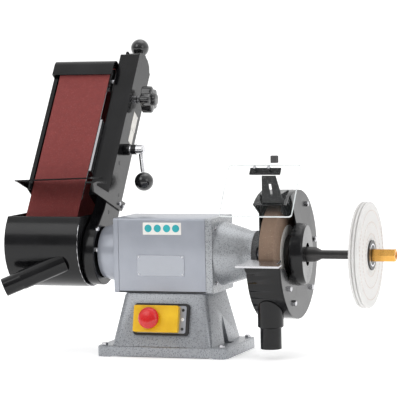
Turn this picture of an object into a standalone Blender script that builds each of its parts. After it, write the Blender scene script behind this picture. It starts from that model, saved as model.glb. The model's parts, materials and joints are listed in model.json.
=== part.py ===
"""Belt and wheel grinder: pedestal motor, tilting sanding-belt arm, guarded wheel, buffing shaft.

Frame: metres, +Z up, +X along the motor shaft to the buffing wheel, -Y towards the operator.
The origin is the centre of the base underside.
"""
from math import atan, cos, degrees, pi, radians, sin

import bmesh
import bpy
from mathutils import Matrix, Vector

GAP = 0.0003                      # clearance between pieces that touch

# shaft and motor
AXIS_Z = 0.192                    # height of the shaft
SHAFT_R = 0.010
MOTOR_X0, MOTOR_X1 = -0.103, 0.097
FLANGE_L, FLANGE_R = 0.010, 0.014  # thickness of the square end flanges
MOTOR_HALF_Y = 0.0625
MOTOR_Z0, MOTOR_Z1 = 0.120, 0.263
CASING_WALL = 0.006
LEFT_BELL_END, LEFT_BELL_R = -0.1415, 0.050
RIGHT_BELL_END, RIGHT_BELL_R = 0.168, 0.0445
BEARING_R, BEARING_W = 0.0235, 0.014

# pedestal
FOOT_X, FOOT_Y, FOOT_H = 0.131, 0.093, 0.021   # half sizes of the foot, and its height
LAND = 0.002                      # relief under the foot between its corner lands
PED_TOP = MOTOR_Z0 - GAP
PED_WALL = 0.007
PED_BASE = (0.101, 0.0905)        # half sizes where the body leaves the foot
PED_HEAD = (0.083, 0.066)         # half sizes under the motor
SWITCH_X, SWITCH_Z = -0.001, 0.0715
FLAP_DEPTH, FLAP_SKIN = 0.011, 0.0025

# sanding-belt arm; its own frame has the shaft as origin, +z along the arm, -y to the belt
LEAN = 35.5                       # degrees that the arm leans back at rest
BELT_X0, BELT_X1 = -0.300, -0.192
WHEEL_R = 0.060                   # drive wheel
IDLER_R = 0.027
IDLER_Z = 0.376                   # along the arm
IDLER_FRONT = WHEEL_R - IDLER_R   # in front of the middle line, so that the working run lies along the arm
IDLER_AXLE_R = 0.006
BELT_T = 0.0012
FRAME_X0, FRAME_X1 = -0.1865, -0.145
FRAME_FRONT, FRAME_BACK = -0.046, 0.026
FRAME_TOP = 0.437
FRAME_STEP = 0.104                # the frame is wide above this, clear of the hood
BOSS_R = 0.064                    # round lower end of the frame
HOOD_R, HOOD_Z = 0.084, 0.2085
HOOD_X0, HOOD_X1 = -0.322, -0.170
HOOD_WALL = 0.002
SPIGOT_BORE, SPIGOT_R = 0.0165, 0.019
SPIGOT_LENGTH = 0.093
SPIGOT_ROOT = (-0.232, -0.078, 0.166)
SPIGOT_DIR = (-0.860, -0.330, -0.370)

# belt work table
TABLE_Z = 0.3365                  # at the right end
TABLE_X0, TABLE_X1 = -0.3125, -0.154
TABLE_FRONT, TABLE_REAR = -0.047, 0.0205
TABLE_TILT, TABLE_RISE = 2.0, 3.4  # degrees: left end down, front edge up

# grinding wheel and guard
GUARD_R = 0.1225
GUARD_X0, GUARD_X1 = 0.182, 0.249
SHEET = 0.0025
WHEEL_X0, WHEEL_X1 = 0.200, 0.2285
GRIND_R = 0.100
HUB_R = 0.060                     # boss of the guard cover round the shaft
SPIGOT2_X, SPIGOT2_Y = 0.2125, -0.070

# buffing end
BUFF_X0, BUFF_X1, BUFF_R = 0.371, 0.390, 0.100
SPINDLE_END = 0.438

# eye shield
SHIELD_X0, SHIELD_X1 = 0.143, 0.284
SHIELD_LENGTH, SHIELD_TILT = 0.115, 37.0
BAR_Y, BAR_Z = -0.094, 0.354

FINISHES = {
    "grey_hammer": ((0.42, 0.43, 0.44), 0.42, 0.3), "grey_smooth": ((0.46, 0.48, 0.52), 0.40, 0.1),
    "black_paint": ((0.012, 0.012, 0.013), 0.28, 0.0), "black_plastic": ((0.015, 0.015, 0.016), 0.25, 0.0),
    "steel": ((0.62, 0.62, 0.64), 0.25, 1.0), "dark_steel": ((0.05, 0.05, 0.055), 0.35, 0.8),
    "belt_grit": ((0.32, 0.07, 0.06), 0.85, 0.0), "wheel_grit": ((0.24, 0.17, 0.15), 0.9, 0.0),
    "cotton": ((0.88, 0.86, 0.82), 0.9, 0.0),
    "brass": ((0.75, 0.38, 0.06), 0.28, 0.9), "clear": ((0.85, 0.87, 0.87), 0.05, 0.0),
    "red": ((0.75, 0.02, 0.02), 0.3, 0.0), "yellow": ((0.9, 0.6, 0.02), 0.35, 0.0),
    "green": ((0.03, 0.4, 0.08), 0.35, 0.0), "rubber": ((0.03, 0.03, 0.03), 0.8, 0.0),
    "copper": ((0.6, 0.25, 0.12), 0.4, 1.0),
}


# ---------------------------------------------------------------- modelling helpers

def clear_scene():
    """Remove every object that the file opened with."""
    for old in list(bpy.data.objects):
        bpy.data.objects.remove(old, do_unlink=True)


def finish(slot):
    """Return the Principled material of a finish, made once."""
    material = bpy.data.materials.get(slot)
    if material is None:
        colour, roughness, metallic = FINISHES[slot]
        material = bpy.data.materials.new(slot)
        material.use_nodes = True
        shader = material.node_tree.nodes["Principled BSDF"]
        shader.inputs["Base Color"].default_value = (*colour, 1.0)
        shader.inputs["Roughness"].default_value = roughness
        shader.inputs["Metallic"].default_value = metallic
    return material


def pivot(name, at, parent=None, turn=(0, 0, 0)):
    """Make an empty on a joint axis."""
    empty = bpy.data.objects.new(name, None)
    bpy.context.scene.collection.objects.link(empty)
    empty.location = at
    empty.rotation_euler = [radians(angle) for angle in turn]
    empty.parent = parent
    return empty


def place(name, bm, slot, at=(0, 0, 0), parent=None, turn=(0, 0, 0)):
    """Turn a bmesh into a named object, smooth where it is round."""
    mesh = bpy.data.meshes.new(name)
    bmesh.ops.recalc_face_normals(bm, faces=bm.faces)
    bm.to_mesh(mesh)
    bm.free()
    mesh.shade_smooth()
    mesh.set_sharp_from_angle(angle=radians(32))
    mesh.materials.append(finish(slot))
    part = bpy.data.objects.new(name, mesh)
    bpy.context.scene.collection.objects.link(part)
    part.location = at
    part.rotation_euler = [radians(angle) for angle in turn]
    part.parent = parent
    return part


def turned(name, profile, slot, segments=32, toward=(1, 0, 0), **where):
    """Revolve a profile of (along, radius) points round the direction toward."""
    bm = bmesh.new()
    verts = [bm.verts.new((along, 0, radius)) for along, radius in profile]
    on_axis = profile[0][1] == 0 and profile[-1][1] == 0
    pairs = list(zip(verts, verts[1:])) + ([] if on_axis else [(verts[-1], verts[0])])
    edges = [bm.edges.new(pair) for pair in pairs]
    bmesh.ops.spin(bm, geom=verts + edges, cent=(0, 0, 0), axis=(1, 0, 0), angle=2 * pi,
                   steps=segments, use_duplicate=False)
    bmesh.ops.remove_doubles(bm, verts=bm.verts, dist=1e-6)
    turn = Vector((1, 0, 0)).rotation_difference(Vector(toward)).to_matrix()
    bmesh.ops.rotate(bm, verts=bm.verts, cent=(0, 0, 0), matrix=turn)
    return place(name, bm, slot, **where)


def tube(start, end, outer, inner):
    """Profile of a plain ring between two stations."""
    return [(start, outer), (end, outer), (end, inner), (start, inner)]


def rod(start, end, radius, chamfer=0.0):
    """Profile of a solid round bar with chamfered ends."""
    ends = [(start + chamfer, radius), (end - chamfer, radius)]
    if chamfer:
        ends = [(start, radius - chamfer), *ends, (end, radius - chamfer)]
    return [(start, 0), *ends, (end, 0)]


def ball(centre, radius, first=0.0, steps=6):
    """Profile of a ball on the axis, open from the polar angle first for a neck."""
    turn = [first + (pi - first) * i / steps for i in range(steps + 1)]
    return [(centre - radius * cos(t), radius * sin(t) if 0 < i < steps or first else 0)
            for i, t in enumerate(turn)]


def prism(name, outline, low, high, slot, normal="X", **where):
    """Extrude an outline; its points are (y, z), (x, z) or (x, y) for a normal of X, Y or Z."""
    spot = {"X": lambda p, d: (d, p[0], p[1]), "Y": lambda p, d: (p[0], d, p[1]),
            "Z": lambda p, d: (p[0], p[1], d)}[normal]
    bm = bmesh.new()
    face = bm.faces.new([bm.verts.new(spot(point, low)) for point in outline])
    grown = bmesh.ops.extrude_face_region(bm, geom=[face])["geom"]
    top = [item for item in grown if isinstance(item, bmesh.types.BMVert)]
    bmesh.ops.translate(bm, verts=top, vec=Vector(spot((0, 0), high)) - Vector(spot((0, 0), low)))
    return place(name, bm, slot, **where)


def block(name, low, high, slot, **where):
    """A plain rectangular solid between two corners."""
    outline = [(low[1], low[2]), (high[1], low[2]), (high[1], high[2]), (low[1], high[2])]
    return prism(name, outline, low[0], high[0], slot, **where)


def arc(radius, start, end, steps, centre=(0.0, 0.0)):
    """Points of an arc, in degrees from the first axis towards the second."""
    angles = [radians(start + (end - start) * i / steps) for i in range(steps + 1)]
    return [(centre[0] + radius * cos(t), centre[1] + radius * sin(t)) for t in angles]


def rounded(half_a, half_b, radius, steps=3, centre=(0.0, 0.0)):
    """Outline of a rectangle with round corners."""
    points = []
    for quarter, (sa, sb) in enumerate(((1, 1), (-1, 1), (-1, -1), (1, -1))):
        corner = (centre[0] + sa * (half_a - radius), centre[1] + sb * (half_b - radius))
        points += arc(radius, 90 * quarter, 90 * quarter + 90, steps, corner)
    return points


def loft(name, sections, slot, **where):
    """Skin a stack of (height, outline) sections and cap both ends."""
    bm = bmesh.new()
    loops = [[bm.verts.new((x, y, z)) for x, y in outline] for z, outline in sections]
    for below, above in zip(loops, loops[1:]):
        for i, vert in enumerate(below):
            j = (i + 1) % len(below)
            bm.faces.new((vert, below[j], above[j], above[i]))
    bm.faces.new(loops[0])
    bm.faces.new(loops[-1])
    return place(name, bm, slot, **where)


def cut(body, cutter, operation="DIFFERENCE"):
    """Cut one solid by another, or join it on, and keep the tool as a hidden guide."""
    modifier = body.modifiers.new(cutter.name, "BOOLEAN")
    modifier.operation = operation
    modifier.object = cutter
    modifier.solver = "EXACT"
    cutter.hide_render = True
    cutter.display_type = "WIRE"


def hexagon(across):
    """Outline of a hexagon by its width across flats."""
    return arc(across / (2 * cos(pi / 6)), 0, 300, 5)


# ---------------------------------------------------------------- base

def make_pedestal():
    """Cast foot and tapered body, hollow from below, with side pockets over the holding bolts."""
    foot = rounded(FOOT_X, FOOT_Y, 0.012)
    foot_top = rounded(FOOT_X - 0.002, FOOT_Y - 0.002, 0.010)
    base = rounded(*PED_BASE, 0.010)
    head = rounded(*PED_HEAD, 0.012)
    body = loft("pedestal", [(0, foot), (FOOT_H - 0.002, foot), (FOOT_H, foot_top), (FOOT_H, base),
                             (PED_TOP - 0.003, head),
                             (PED_TOP, rounded(PED_HEAD[0] - 0.003, PED_HEAD[1] - 0.003, 0.009))],
                "grey_hammer")
    wall = PED_WALL
    inside = loft("pedestal_core", [(-0.01, rounded(PED_BASE[0] - wall, PED_BASE[1] - wall, 0.006)),
                                    (PED_TOP - 0.010, rounded(PED_HEAD[0] - wall, PED_HEAD[1] - wall,
                                                              0.006))],
                  "rubber")
    cut(body, inside)
    cut(body, prism("wire_way", arc(0.012, 0, 330, 11), 0.08, 0.13, "rubber", normal="Z", at=(0.03, 0, 0)))
    cut(body, prism("relief_x", rounded(FOOT_X - 0.028, FOOT_Y + 0.01, 0.002, 1), -0.01, LAND, "rubber",
                    normal="Z"))
    window = switch_frame("switch_window_frame")
    cut(body, block("switch_window", (-0.052, -0.012, -0.024), (0.045, 0.012, 0.024), "rubber",
                    parent=window))
    for side in (-1, 1):
        pocket = [(-0.004, 0.085), (-0.013, FOOT_H - 0.004), (0.013, FOOT_H - 0.004), (0.004, 0.085)]
        cut(body, prism(f"pocket_{side}", pocket, side * 0.0915, side * 0.112, "rubber"))
    return body


def make_bottom_cover():
    """Steel plate that closes the base, flush with the corner lands."""
    outline = rounded(PED_BASE[0] - PED_WALL - GAP, PED_BASE[1] - PED_WALL - GAP, 0.006)
    plate = prism("bottom_cover", outline, 0.0, 0.0015, "dark_steel", normal="Z")
    for x in (-0.06, 0.06):
        cut(plate, block(f"vent_{x}", (x - 0.02, -0.004, -0.01), (x + 0.02, 0.004, 0.01), "rubber"))


def make_capacitor():
    """Run capacitor clipped inside the pedestal."""
    turned("capacitor", rod(-0.035, 0.035, 0.018, 0.002), "black_plastic", segments=20,
           at=(0.02, 0.035, 0.040))


def make_cable_gland():
    """Gland at the back of the pedestal where the mains lead goes in."""
    slope = radians(14)
    turned("cable_gland", [(0, 0), (0, 0.011), (0.005, 0.011), (0.006, 0.009), (0.020, 0.008),
                           (0.022, 0.0065), (0.022, 0.0035), (0.008, 0.0035), (0.008, 0)],
           "black_plastic", segments=16, toward=(0, cos(slope), sin(slope)), at=(0.045, 0.0862, 0.045))


# ---------------------------------------------------------------- switch

def switch_frame(name):
    """Empty in the middle of the sloping front face, -y pointing out of it."""
    rise = PED_TOP - FOOT_H
    slope = (PED_BASE[1] - PED_HEAD[1]) / rise
    y = -(PED_BASE[1] - slope * (SWITCH_Z - FOOT_H))
    return pivot(name, (SWITCH_X, y, SWITCH_Z), turn=(-degrees(atan(slope)), 0, 0))


def make_switch():
    """Switch plate with start and stop buttons under a yellow flap with a red stop head."""
    frame = switch_frame("switch_pivot")
    plate = prism("switch_plate", rounded(0.0555, 0.0305, 0.006), -0.006, -0.0006, "black_plastic",
                  normal="Y", parent=frame)
    cut(plate, block("switch_box", (-0.050, -0.003, -0.022), (0.043, 0.010, 0.022), "black_plastic",
                     parent=frame), "UNION")
    for side, x, colour in (("stop", -0.019, "red"), ("start", 0.008, "green")):
        cut(plate, block(f"{side}_well", (x - 0.0085, -0.02, -0.0085), (x + 0.0085, 0.004, 0.0085), "rubber",
                         parent=frame))
        block(f"{side}_button", (-0.008, -0.0105, -0.008), (0.008, 0.0, 0.008), colour, at=(x, 0, 0),
              parent=frame)
    hinge = pivot("flap_pivot", (-0.0515, -0.0120, 0), parent=frame)
    half = FLAP_DEPTH / 2
    cover = prism("switch_flap", rounded(0.0450, 0.0255, 0.003, centre=(0.0440, 0)), -half, half, "yellow",
                  normal="Y", parent=hinge)
    cut(cover, block("flap_hollow", (0.003, FLAP_SKIN - half, -0.0225), (0.085, 0.01, 0.0225), "rubber",
                     parent=hinge))
    cut(cover, turned("flap_bore", rod(-0.03, 0.01, 0.0065), "rubber", segments=16, toward=(0, 1, 0),
                      at=(0.0325, 0, 0), parent=hinge))
    turned("stop_head", [(-0.0175, 0), (-0.0172, 0.0090), (-0.0155, 0.0150), (-0.0120, 0.0190),
                         (-0.0085, 0.0205), (-0.0050, 0.0205), (-0.0045, 0.0062), (0.0028, 0.0062),
                         (0.0028, 0)],
           "red", segments=32, toward=(0, 1, 0), at=(0.0325, -half, 0), parent=hinge)


# ---------------------------------------------------------------- motor

def make_motor():
    """Square casing, wound core and the two end bells with their bearings."""
    middle = (MOTOR_Z0 + MOTOR_Z1) / 2
    half_z = (MOTOR_Z1 - MOTOR_Z0) / 2
    square = rounded(MOTOR_HALF_Y, half_z, 0.004, 2, (0, middle))
    casing = prism("motor_casing", square, MOTOR_X0 + FLANGE_L + GAP, MOTOR_X1 - FLANGE_R - GAP,
                   "grey_smooth")
    inner = rounded(MOTOR_HALF_Y - CASING_WALL, half_z - CASING_WALL, 0.004, 2, (0, middle))
    cut(casing, prism("casing_core", inner, -0.2, 0.2, "rubber"))
    turned("stator", tube(-0.058, 0.042, 0.0560, 0.0335), "copper", segments=28, at=(0, 0, AXIS_Z))
    seat = BEARING_R + GAP
    left = prism("left_end_bell", square, MOTOR_X0, MOTOR_X0 + FLANGE_L, "grey_smooth")
    cut(left, turned("left_cup", [(MOTOR_X0 + 0.005, 0), (MOTOR_X0 + 0.005, 0.056),
                                  (MOTOR_X0 - 0.010, 0.0555),
                                  (MOTOR_X0 - 0.026, 0.0535), (LEFT_BELL_END, LEFT_BELL_R),
                                  (LEFT_BELL_END, 0)],
                     "rubber", segments=36, at=(0, 0, AXIS_Z)), "UNION")
    cut(left, turned("left_bore", [(-0.2, 0), (-0.2, 0.014), (-0.131, 0.014), (-0.131, seat), (-0.115, seat),
                                   (-0.110, 0.044), (-0.08, 0.044), (-0.08, 0)],
                     "rubber", segments=28, at=(0, 0, AXIS_Z)))
    right = prism("right_end_bell", square, MOTOR_X1 - FLANGE_R, MOTOR_X1, "grey_hammer")
    cut(right, turned("right_cup", [(MOTOR_X1 - 0.005, 0), (MOTOR_X1 - 0.005, 0.0615), (0.105, 0.0605),
                                    (0.148, 0.047), (0.153, RIGHT_BELL_R), (RIGHT_BELL_END, RIGHT_BELL_R),
                                    (RIGHT_BELL_END, 0)],
                      "rubber", segments=36, at=(0, 0, AXIS_Z)), "UNION")
    cut(right, turned("right_bore", [(0.06, 0), (0.06, 0.048), (0.105, 0.048), (0.136, 0.036), (0.136, seat),
                                     (0.158, seat), (0.158, 0.014), (0.3, 0.014), (0.3, 0)],
                      "rubber", segments=28, at=(0, 0, AXIS_Z)))
    for name, start in (("left_bearing", -0.131 + GAP), ("right_bearing", 0.158 - GAP - BEARING_W)):
        turned(name, tube(start, start + BEARING_W, BEARING_R, SHAFT_R + GAP), "steel", segments=24,
               at=(0, 0, AXIS_Z))
    block("rating_plate", (-0.055, -MOTOR_HALF_Y - 0.0011, 0.153), (0.040, -MOTOR_HALF_Y - GAP, 0.193),
          "steel")


def make_rotor():
    """Shaft with everything that turns on it between the belt and the grinding wheel."""
    spin = pivot("shaft_pivot", (0, 0, AXIS_Z))
    small = 0.008
    turned("motor_shaft", [(-0.314, 0), (-0.314, small), (-0.180, small), (-0.180, SHAFT_R),
                           (0.180, SHAFT_R),
                           (0.180, small), (0.2535, small), (0.2535, 0)], "steel", segments=16, parent=spin)
    turned("rotor", tube(-0.060, 0.044, 0.0325, SHAFT_R + GAP), "dark_steel", segments=24, parent=spin)
    turned("drive_wheel", [(BELT_X0 + 0.002, WHEEL_R - 0.001), (-0.246, WHEEL_R),
                           (BELT_X1 - 0.002, WHEEL_R - 0.001),
                           (BELT_X1 - 0.002, 0.050), (-0.220, 0.050), (-0.220, 0.020), (-0.186, 0.020),
                           (-0.186, small + GAP), (-0.300, small + GAP), (-0.300, 0.020), (-0.236, 0.020),
                           (-0.236, 0.050), (BELT_X0 + 0.002, 0.050)], "rubber", segments=36, parent=spin)
    nut = prism("drive_wheel_nut", hexagon(0.024), -0.310, -0.300 - GAP, "steel", parent=spin)
    cut(nut, turned("drive_nut_bore", rod(-0.4, -0.2, small + GAP), "rubber", segments=16, parent=spin))
    turned("grinding_wheel", tube(WHEEL_X0, WHEEL_X1, GRIND_R, 0.0163), "wheel_grit", segments=44,
           parent=spin)
    for name, start, end in (("inner_flange", WHEEL_X0 - 0.012, WHEEL_X0 - GAP),
                             ("outer_flange", WHEEL_X1 + GAP, WHEEL_X1 + 0.009)):
        turned(name, tube(start, end, 0.036, small + GAP), "dark_steel", segments=28, parent=spin)
    make_buffing_shaft(spin, small)


def make_buffing_shaft(spin, small):
    """Extension that screws on the shaft, and the cotton wheel clamped on its end."""
    face = WHEEL_X1 + 0.009 + GAP
    bore = small + GAP
    turned("shaft_extension", [(face, bore), (face, 0.0145), (0.282, 0.0145), (0.294, 0.0085),
                               (BUFF_X0 - 0.006, 0.0085),
                               (BUFF_X0 - 0.006, 0.0065), (0.420, 0.0065), (0.420, 0), (0.256, 0),
                               (0.256, bore)],
           "dark_steel", segments=20, parent=spin)
    hub = 0.0065 + GAP
    for name, start, end in (("inner_buff_washer", BUFF_X0 - 0.004, BUFF_X0 - GAP),
                             ("outer_buff_washer", BUFF_X1 + GAP, BUFF_X1 + 0.003)):
        turned(name, tube(start, end, 0.0285, hub), "dark_steel", segments=24, parent=spin)
    turned("buffing_wheel", tube(BUFF_X0, BUFF_X1, BUFF_R, hub), "cotton", segments=44, parent=spin)
    front = BUFF_X1 + 0.003 + GAP
    turned("spindle_nut", [(front, hub), (front, 0.0130), (0.404, 0.0130), (0.407, 0.0120), (0.407, 0.0085),
                           (0.430, 0.0085), (0.436, 0.0060), (SPINDLE_END, 0.0025), (SPINDLE_END, 0),
                           (0.422, 0), (0.422, hub)], "brass", segments=20, parent=spin)


# ---------------------------------------------------------------- belt arm

def on_arm(name, x, front, along, arm, turn=(0, 0, 0)):
    """Empty on the arm at a distance in front of its middle line and along it."""
    return pivot(name, (x, -front, along), parent=arm, turn=turn)


def loop_outline(grow):
    """Closed outline of the belt path round the two wheels, grown outwards."""
    tilt = 2 * degrees(atan(IDLER_FRONT / IDLER_Z))
    lower = arc(WHEEL_R + grow, 180, 360 + tilt, 20)
    upper = arc(IDLER_R + grow, tilt, 180, 12, (-IDLER_FRONT, IDLER_Z))
    return lower + upper


def make_belt(arm):
    """Endless sanding belt and the platen behind its working run."""
    band = prism("sanding_belt", loop_outline(BELT_T + GAP), BELT_X0, BELT_X1, "belt_grit", parent=arm)
    cut(band, prism("belt_core", loop_outline(GAP), -0.4, -0.1, "rubber", parent=arm))
    plate = prism("platen", platen_outline(0.085, 0.335, 0.003), BELT_X0 + 0.003, BELT_X1 + 0.0005, "steel",
                  parent=arm)
    cut(plate, prism("platen_lug", platen_outline(0.150, 0.270, 0.030), BELT_X1 - 0.012, FRAME_X0 - GAP,
                     "steel",
                     parent=arm), "UNION")


def platen_outline(start, end, depth):
    """Side view of a plate just behind the working run of the belt."""
    front = -WHEEL_R + 2 * GAP
    return [(front, start), (front, end), (front + depth, end), (front + depth, start)]


def make_frame(arm):
    """Arm that carries the belt: a round clamp on the motor bell and a box section above it."""
    boss = arc(BOSS_R, 150, 390, 20)
    low = boss + [(FRAME_BACK, 0.075), (FRAME_BACK, FRAME_TOP), (FRAME_FRONT, FRAME_TOP),
                  (FRAME_FRONT, 0.070)]
    body = prism("arm_frame", low, FRAME_X0 + 0.0185, FRAME_X1, "black_paint", parent=arm)
    cut(body, block("arm_frame_box", (FRAME_X0, FRAME_FRONT, FRAME_STEP), (FRAME_X1 - 0.004, FRAME_BACK,
                                                                           FRAME_TOP),
                    "black_paint", parent=arm), "UNION")
    ear = [(FRAME_FRONT, 0.400), (FRAME_FRONT, 0.4395), (-0.030, 0.4490), (-0.014, 0.4530), (0.002, 0.4525),
           (0.014, 0.4475), (0.022, 0.4370), (FRAME_BACK, 0.4200), (FRAME_BACK, 0.400)]
    cut(body, prism("arm_ear", ear, FRAME_X1 - 0.004, FRAME_X1, "black_paint", parent=arm), "UNION")
    cut(body, block("arm_frame_core", (FRAME_X0 - 0.01, FRAME_FRONT + 0.004, 0.290),
                    (FRAME_X1 - 0.006, FRAME_BACK - 0.004, FRAME_TOP - 0.006), "rubber", parent=arm))
    cut(body, turned("arm_bore", rod(-0.3, -0.1, 0.030), "rubber", segments=24, parent=arm))


def make_back_cover(arm):
    """Sheet cover along the left side and the back of the belt."""
    x0, x1 = -0.3135, FRAME_X0 - GAP
    low, high = 0.108, 0.400
    outline = [(x0, -0.0580), (x0 + 0.0085, -0.0580), (x0 + 0.0085, -0.0560), (x0 + 0.002, -0.0560),
               (x0 + 0.002, 0.066), (x1, 0.066), (x1, 0.068), (x0, 0.068)]
    prism("belt_back_cover", outline, low, high, "black_paint", normal="Z", parent=arm)


def make_top_cover(arm):
    """Rounded cap over the idler roller, with a cheek at its left end."""
    x0, x1 = -0.3160, FRAME_X0 - GAP
    low, top, sheet = 0.375, 0.4145, 0.002
    middle = (-0.050, top - 0.016)
    outer = [(-0.066, low), *arc(0.016, 180, 90, 6, middle), (0.060, top), (0.060, 0.403)]
    inner = [(0.058, 0.403), (0.058, top - sheet), *arc(0.014, 90, 180, 6, middle), (-0.064, low)]
    cap = prism("top_cover", outer + inner, x0, x1, "black_paint", parent=arm)
    cheek = [(-0.066, low), *arc(0.016, 180, 90, 6, middle), (0.060, top), (0.060, 0.403), (-0.040, low)]
    cut(cap, prism("cap_cheek", cheek, x0, x0 + sheet, "black_paint", parent=arm), "UNION")


def make_hood(arm_world):
    """Drum round the drive wheel, with end discs and the mouth where the belt goes in."""
    ring = arc(HOOD_R, 0, 350, 35, (0, HOOD_Z))
    drum = prism("belt_hood", ring, HOOD_X0, HOOD_X1, "black_paint")
    core = arc(HOOD_R - HOOD_WALL, 0, 345, 23, (0, HOOD_Z))
    cut(drum, prism("hood_core", core, HOOD_X0 + HOOD_WALL, HOOD_X1 - HOOD_WALL, "rubber"))
    cut(drum, block("hood_mouth", (HOOD_X0 - 0.01, -0.2, 0.2655), (HOOD_X1 + 0.01, 0.2, 0.4), "rubber"))
    cut(drum, block("hood_back_mouth", (HOOD_X0 + 0.004, 0.0, 0.175), (HOOD_X1 - 0.004, 0.2, 0.4), "rubber"))
    cut(drum, turned("hood_bore", rod(HOOD_X1 - 0.02, -0.1, 0.030), "rubber", segments=24,
                     at=(0, 0, AXIS_Z)))
    spigot = Vector(SPIGOT_DIR).normalized()
    cut(drum, turned("spigot_mouth", rod(-0.03, 0.06, SPIGOT_BORE), "rubber", segments=20, toward=spigot,
                     at=SPIGOT_ROOT))
    hold_world(drum, arm_world)
    outlet = turned("belt_dust_spigot", [(-0.035, SPIGOT_R), (0.056, SPIGOT_R), (0.056, SPIGOT_R - 0.001),
                                         (SPIGOT_LENGTH, SPIGOT_R - 0.001), (SPIGOT_LENGTH, SPIGOT_BORE),
                                         (-0.035, SPIGOT_BORE)], "black_paint", segments=20, toward=spigot,
                    at=SPIGOT_ROOT)
    cut(outlet, prism("spigot_trim", arc(HOOD_R + GAP, 0, 350, 35, (0, HOOD_Z)), -0.4, -0.1, "rubber"))
    hold_world(outlet, arm_world)


def hold_world(part, parent):
    """Parent a part without moving it."""
    bpy.context.view_layer.update()
    part.parent = parent
    part.matrix_parent_inverse = parent.matrix_world.inverted()


def make_tension(arm):
    """Idler on its carriage, pushed up the arm by a spring and drawn back by a ball-ended lever."""
    slide = on_arm("carriage_pivot", 0, IDLER_FRONT, IDLER_Z, arm)
    carriage = block("tension_carriage", (FRAME_X0 - 0.0035, -0.0084, -0.045), (FRAME_X1 - 0.0075, 0.033,
                                                                                0.030),
                     "dark_steel", parent=slide)
    seat = IDLER_AXLE_R + GAP
    cut(carriage, turned("axle_seat", rod(-0.3, -0.1, seat), "rubber", segments=16, parent=slide))
    turned("idler_axle", rod(BELT_X0 + 0.001, FRAME_X1 - 0.008, IDLER_AXLE_R, 0.001), "steel", segments=16,
           parent=slide)
    turned("idler_roller", tube(BELT_X0 + 0.003, BELT_X1 - 0.001, IDLER_R, seat), "steel", segments=28,
           parent=slide)
    turned("tension_spring", tube(FRAME_TOP - 0.0295, FRAME_TOP - 0.0063, 0.007, 0.0045), "steel",
           segments=16,
           toward=(0, 0, 1), at=(-0.168, -0.016, 0), parent=arm)
    make_tension_lever(arm)


def make_tension_lever(arm):
    """Ball-ended lever in its fork on top of the arm."""
    lever = on_arm("lever_pivot", -0.168, 0.012, FRAME_TOP + 0.0145, arm)
    lean = (0, 0.33, 0.944)
    hub = turned("tension_lever", rod(-0.0125, 0.0125, 0.009, 0.001), "black_paint", segments=16,
                 parent=lever)
    cut(hub, turned("tension_stem", rod(0.004, 0.028, 0.004), "black_paint", segments=12, toward=lean,
                    parent=lever), "UNION")
    cut(hub, turned("tension_ball", ball(0.0335, 0.0185, steps=8), "black_plastic", segments=24, toward=lean,
                    parent=lever), "UNION")
    low, left, right = FRAME_TOP + GAP, FRAME_X0, FRAME_X1 - 0.0045
    fork = block("lever_fork", (left, -0.022, low), (right, -0.002, FRAME_TOP + 0.004), "black_paint",
                 parent=arm)
    for number, x in enumerate((left, right - 0.005)):
        cut(fork, block(f"fork_cheek_{number}", (x, -0.022, low), (x + 0.005, -0.002, FRAME_TOP + 0.0235),
                        "black_paint", parent=arm), "UNION")


def make_tracking(arm):
    """Star knob on its stud, which tilts the idler to steer the belt."""
    spin = on_arm("tracking_pivot", FRAME_X1, 0.007, 0.352, arm)
    turned("tracking_screw", tube(0.0005, 0.012, 0.008, 0.0045), "steel", segments=16, parent=spin)
    lobes = []
    for i in range(40):
        turn = 2 * pi * i / 40
        radius = 0.0245 + 0.0035 * cos(5 * turn)
        lobes.append((radius * cos(turn), radius * sin(turn)))
    knob = prism("tracking_knob", lobes, 0.0125, 0.034, "black_plastic", parent=spin)
    cut(knob, turned("tracking_nose", rod(0.030, 0.041, 0.012, 0.001), "black_plastic", segments=16,
                     parent=spin),
        "UNION")


def make_clamp(arm):
    """Lever that locks the tilt of the arm."""
    spin = on_arm("clamp_pivot", FRAME_X1, 0.015, 0.227, arm, turn=(LEAN, 0, 0))
    turned("clamp_collar", tube(GAP, 0.012, 0.0115, 0.0063), "black_paint", segments=20, parent=spin)
    hub = turned("clamp_lever", [(0.0005, 0), (0.0005, 0.006), (0.0123, 0.006), (0.0123, 0.0095),
                                 (0.039, 0.0095),
                                 (0.041, 0.0075), (0.041, 0)], "steel", segments=20, parent=spin)
    drop = Vector((0.10, 0.0, -0.99)).normalized()
    cut(hub, turned("clamp_rod", rod(0.0, 0.0445, 0.0042), "steel", segments=12, toward=drop,
                    at=(0.033, 0, 0),
                    parent=spin), "UNION")
    turned("clamp_ball", ball(0.064, 0.0190), "black_plastic", segments=20, toward=drop, at=(0.033, 0, 0),
           parent=spin)


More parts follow.
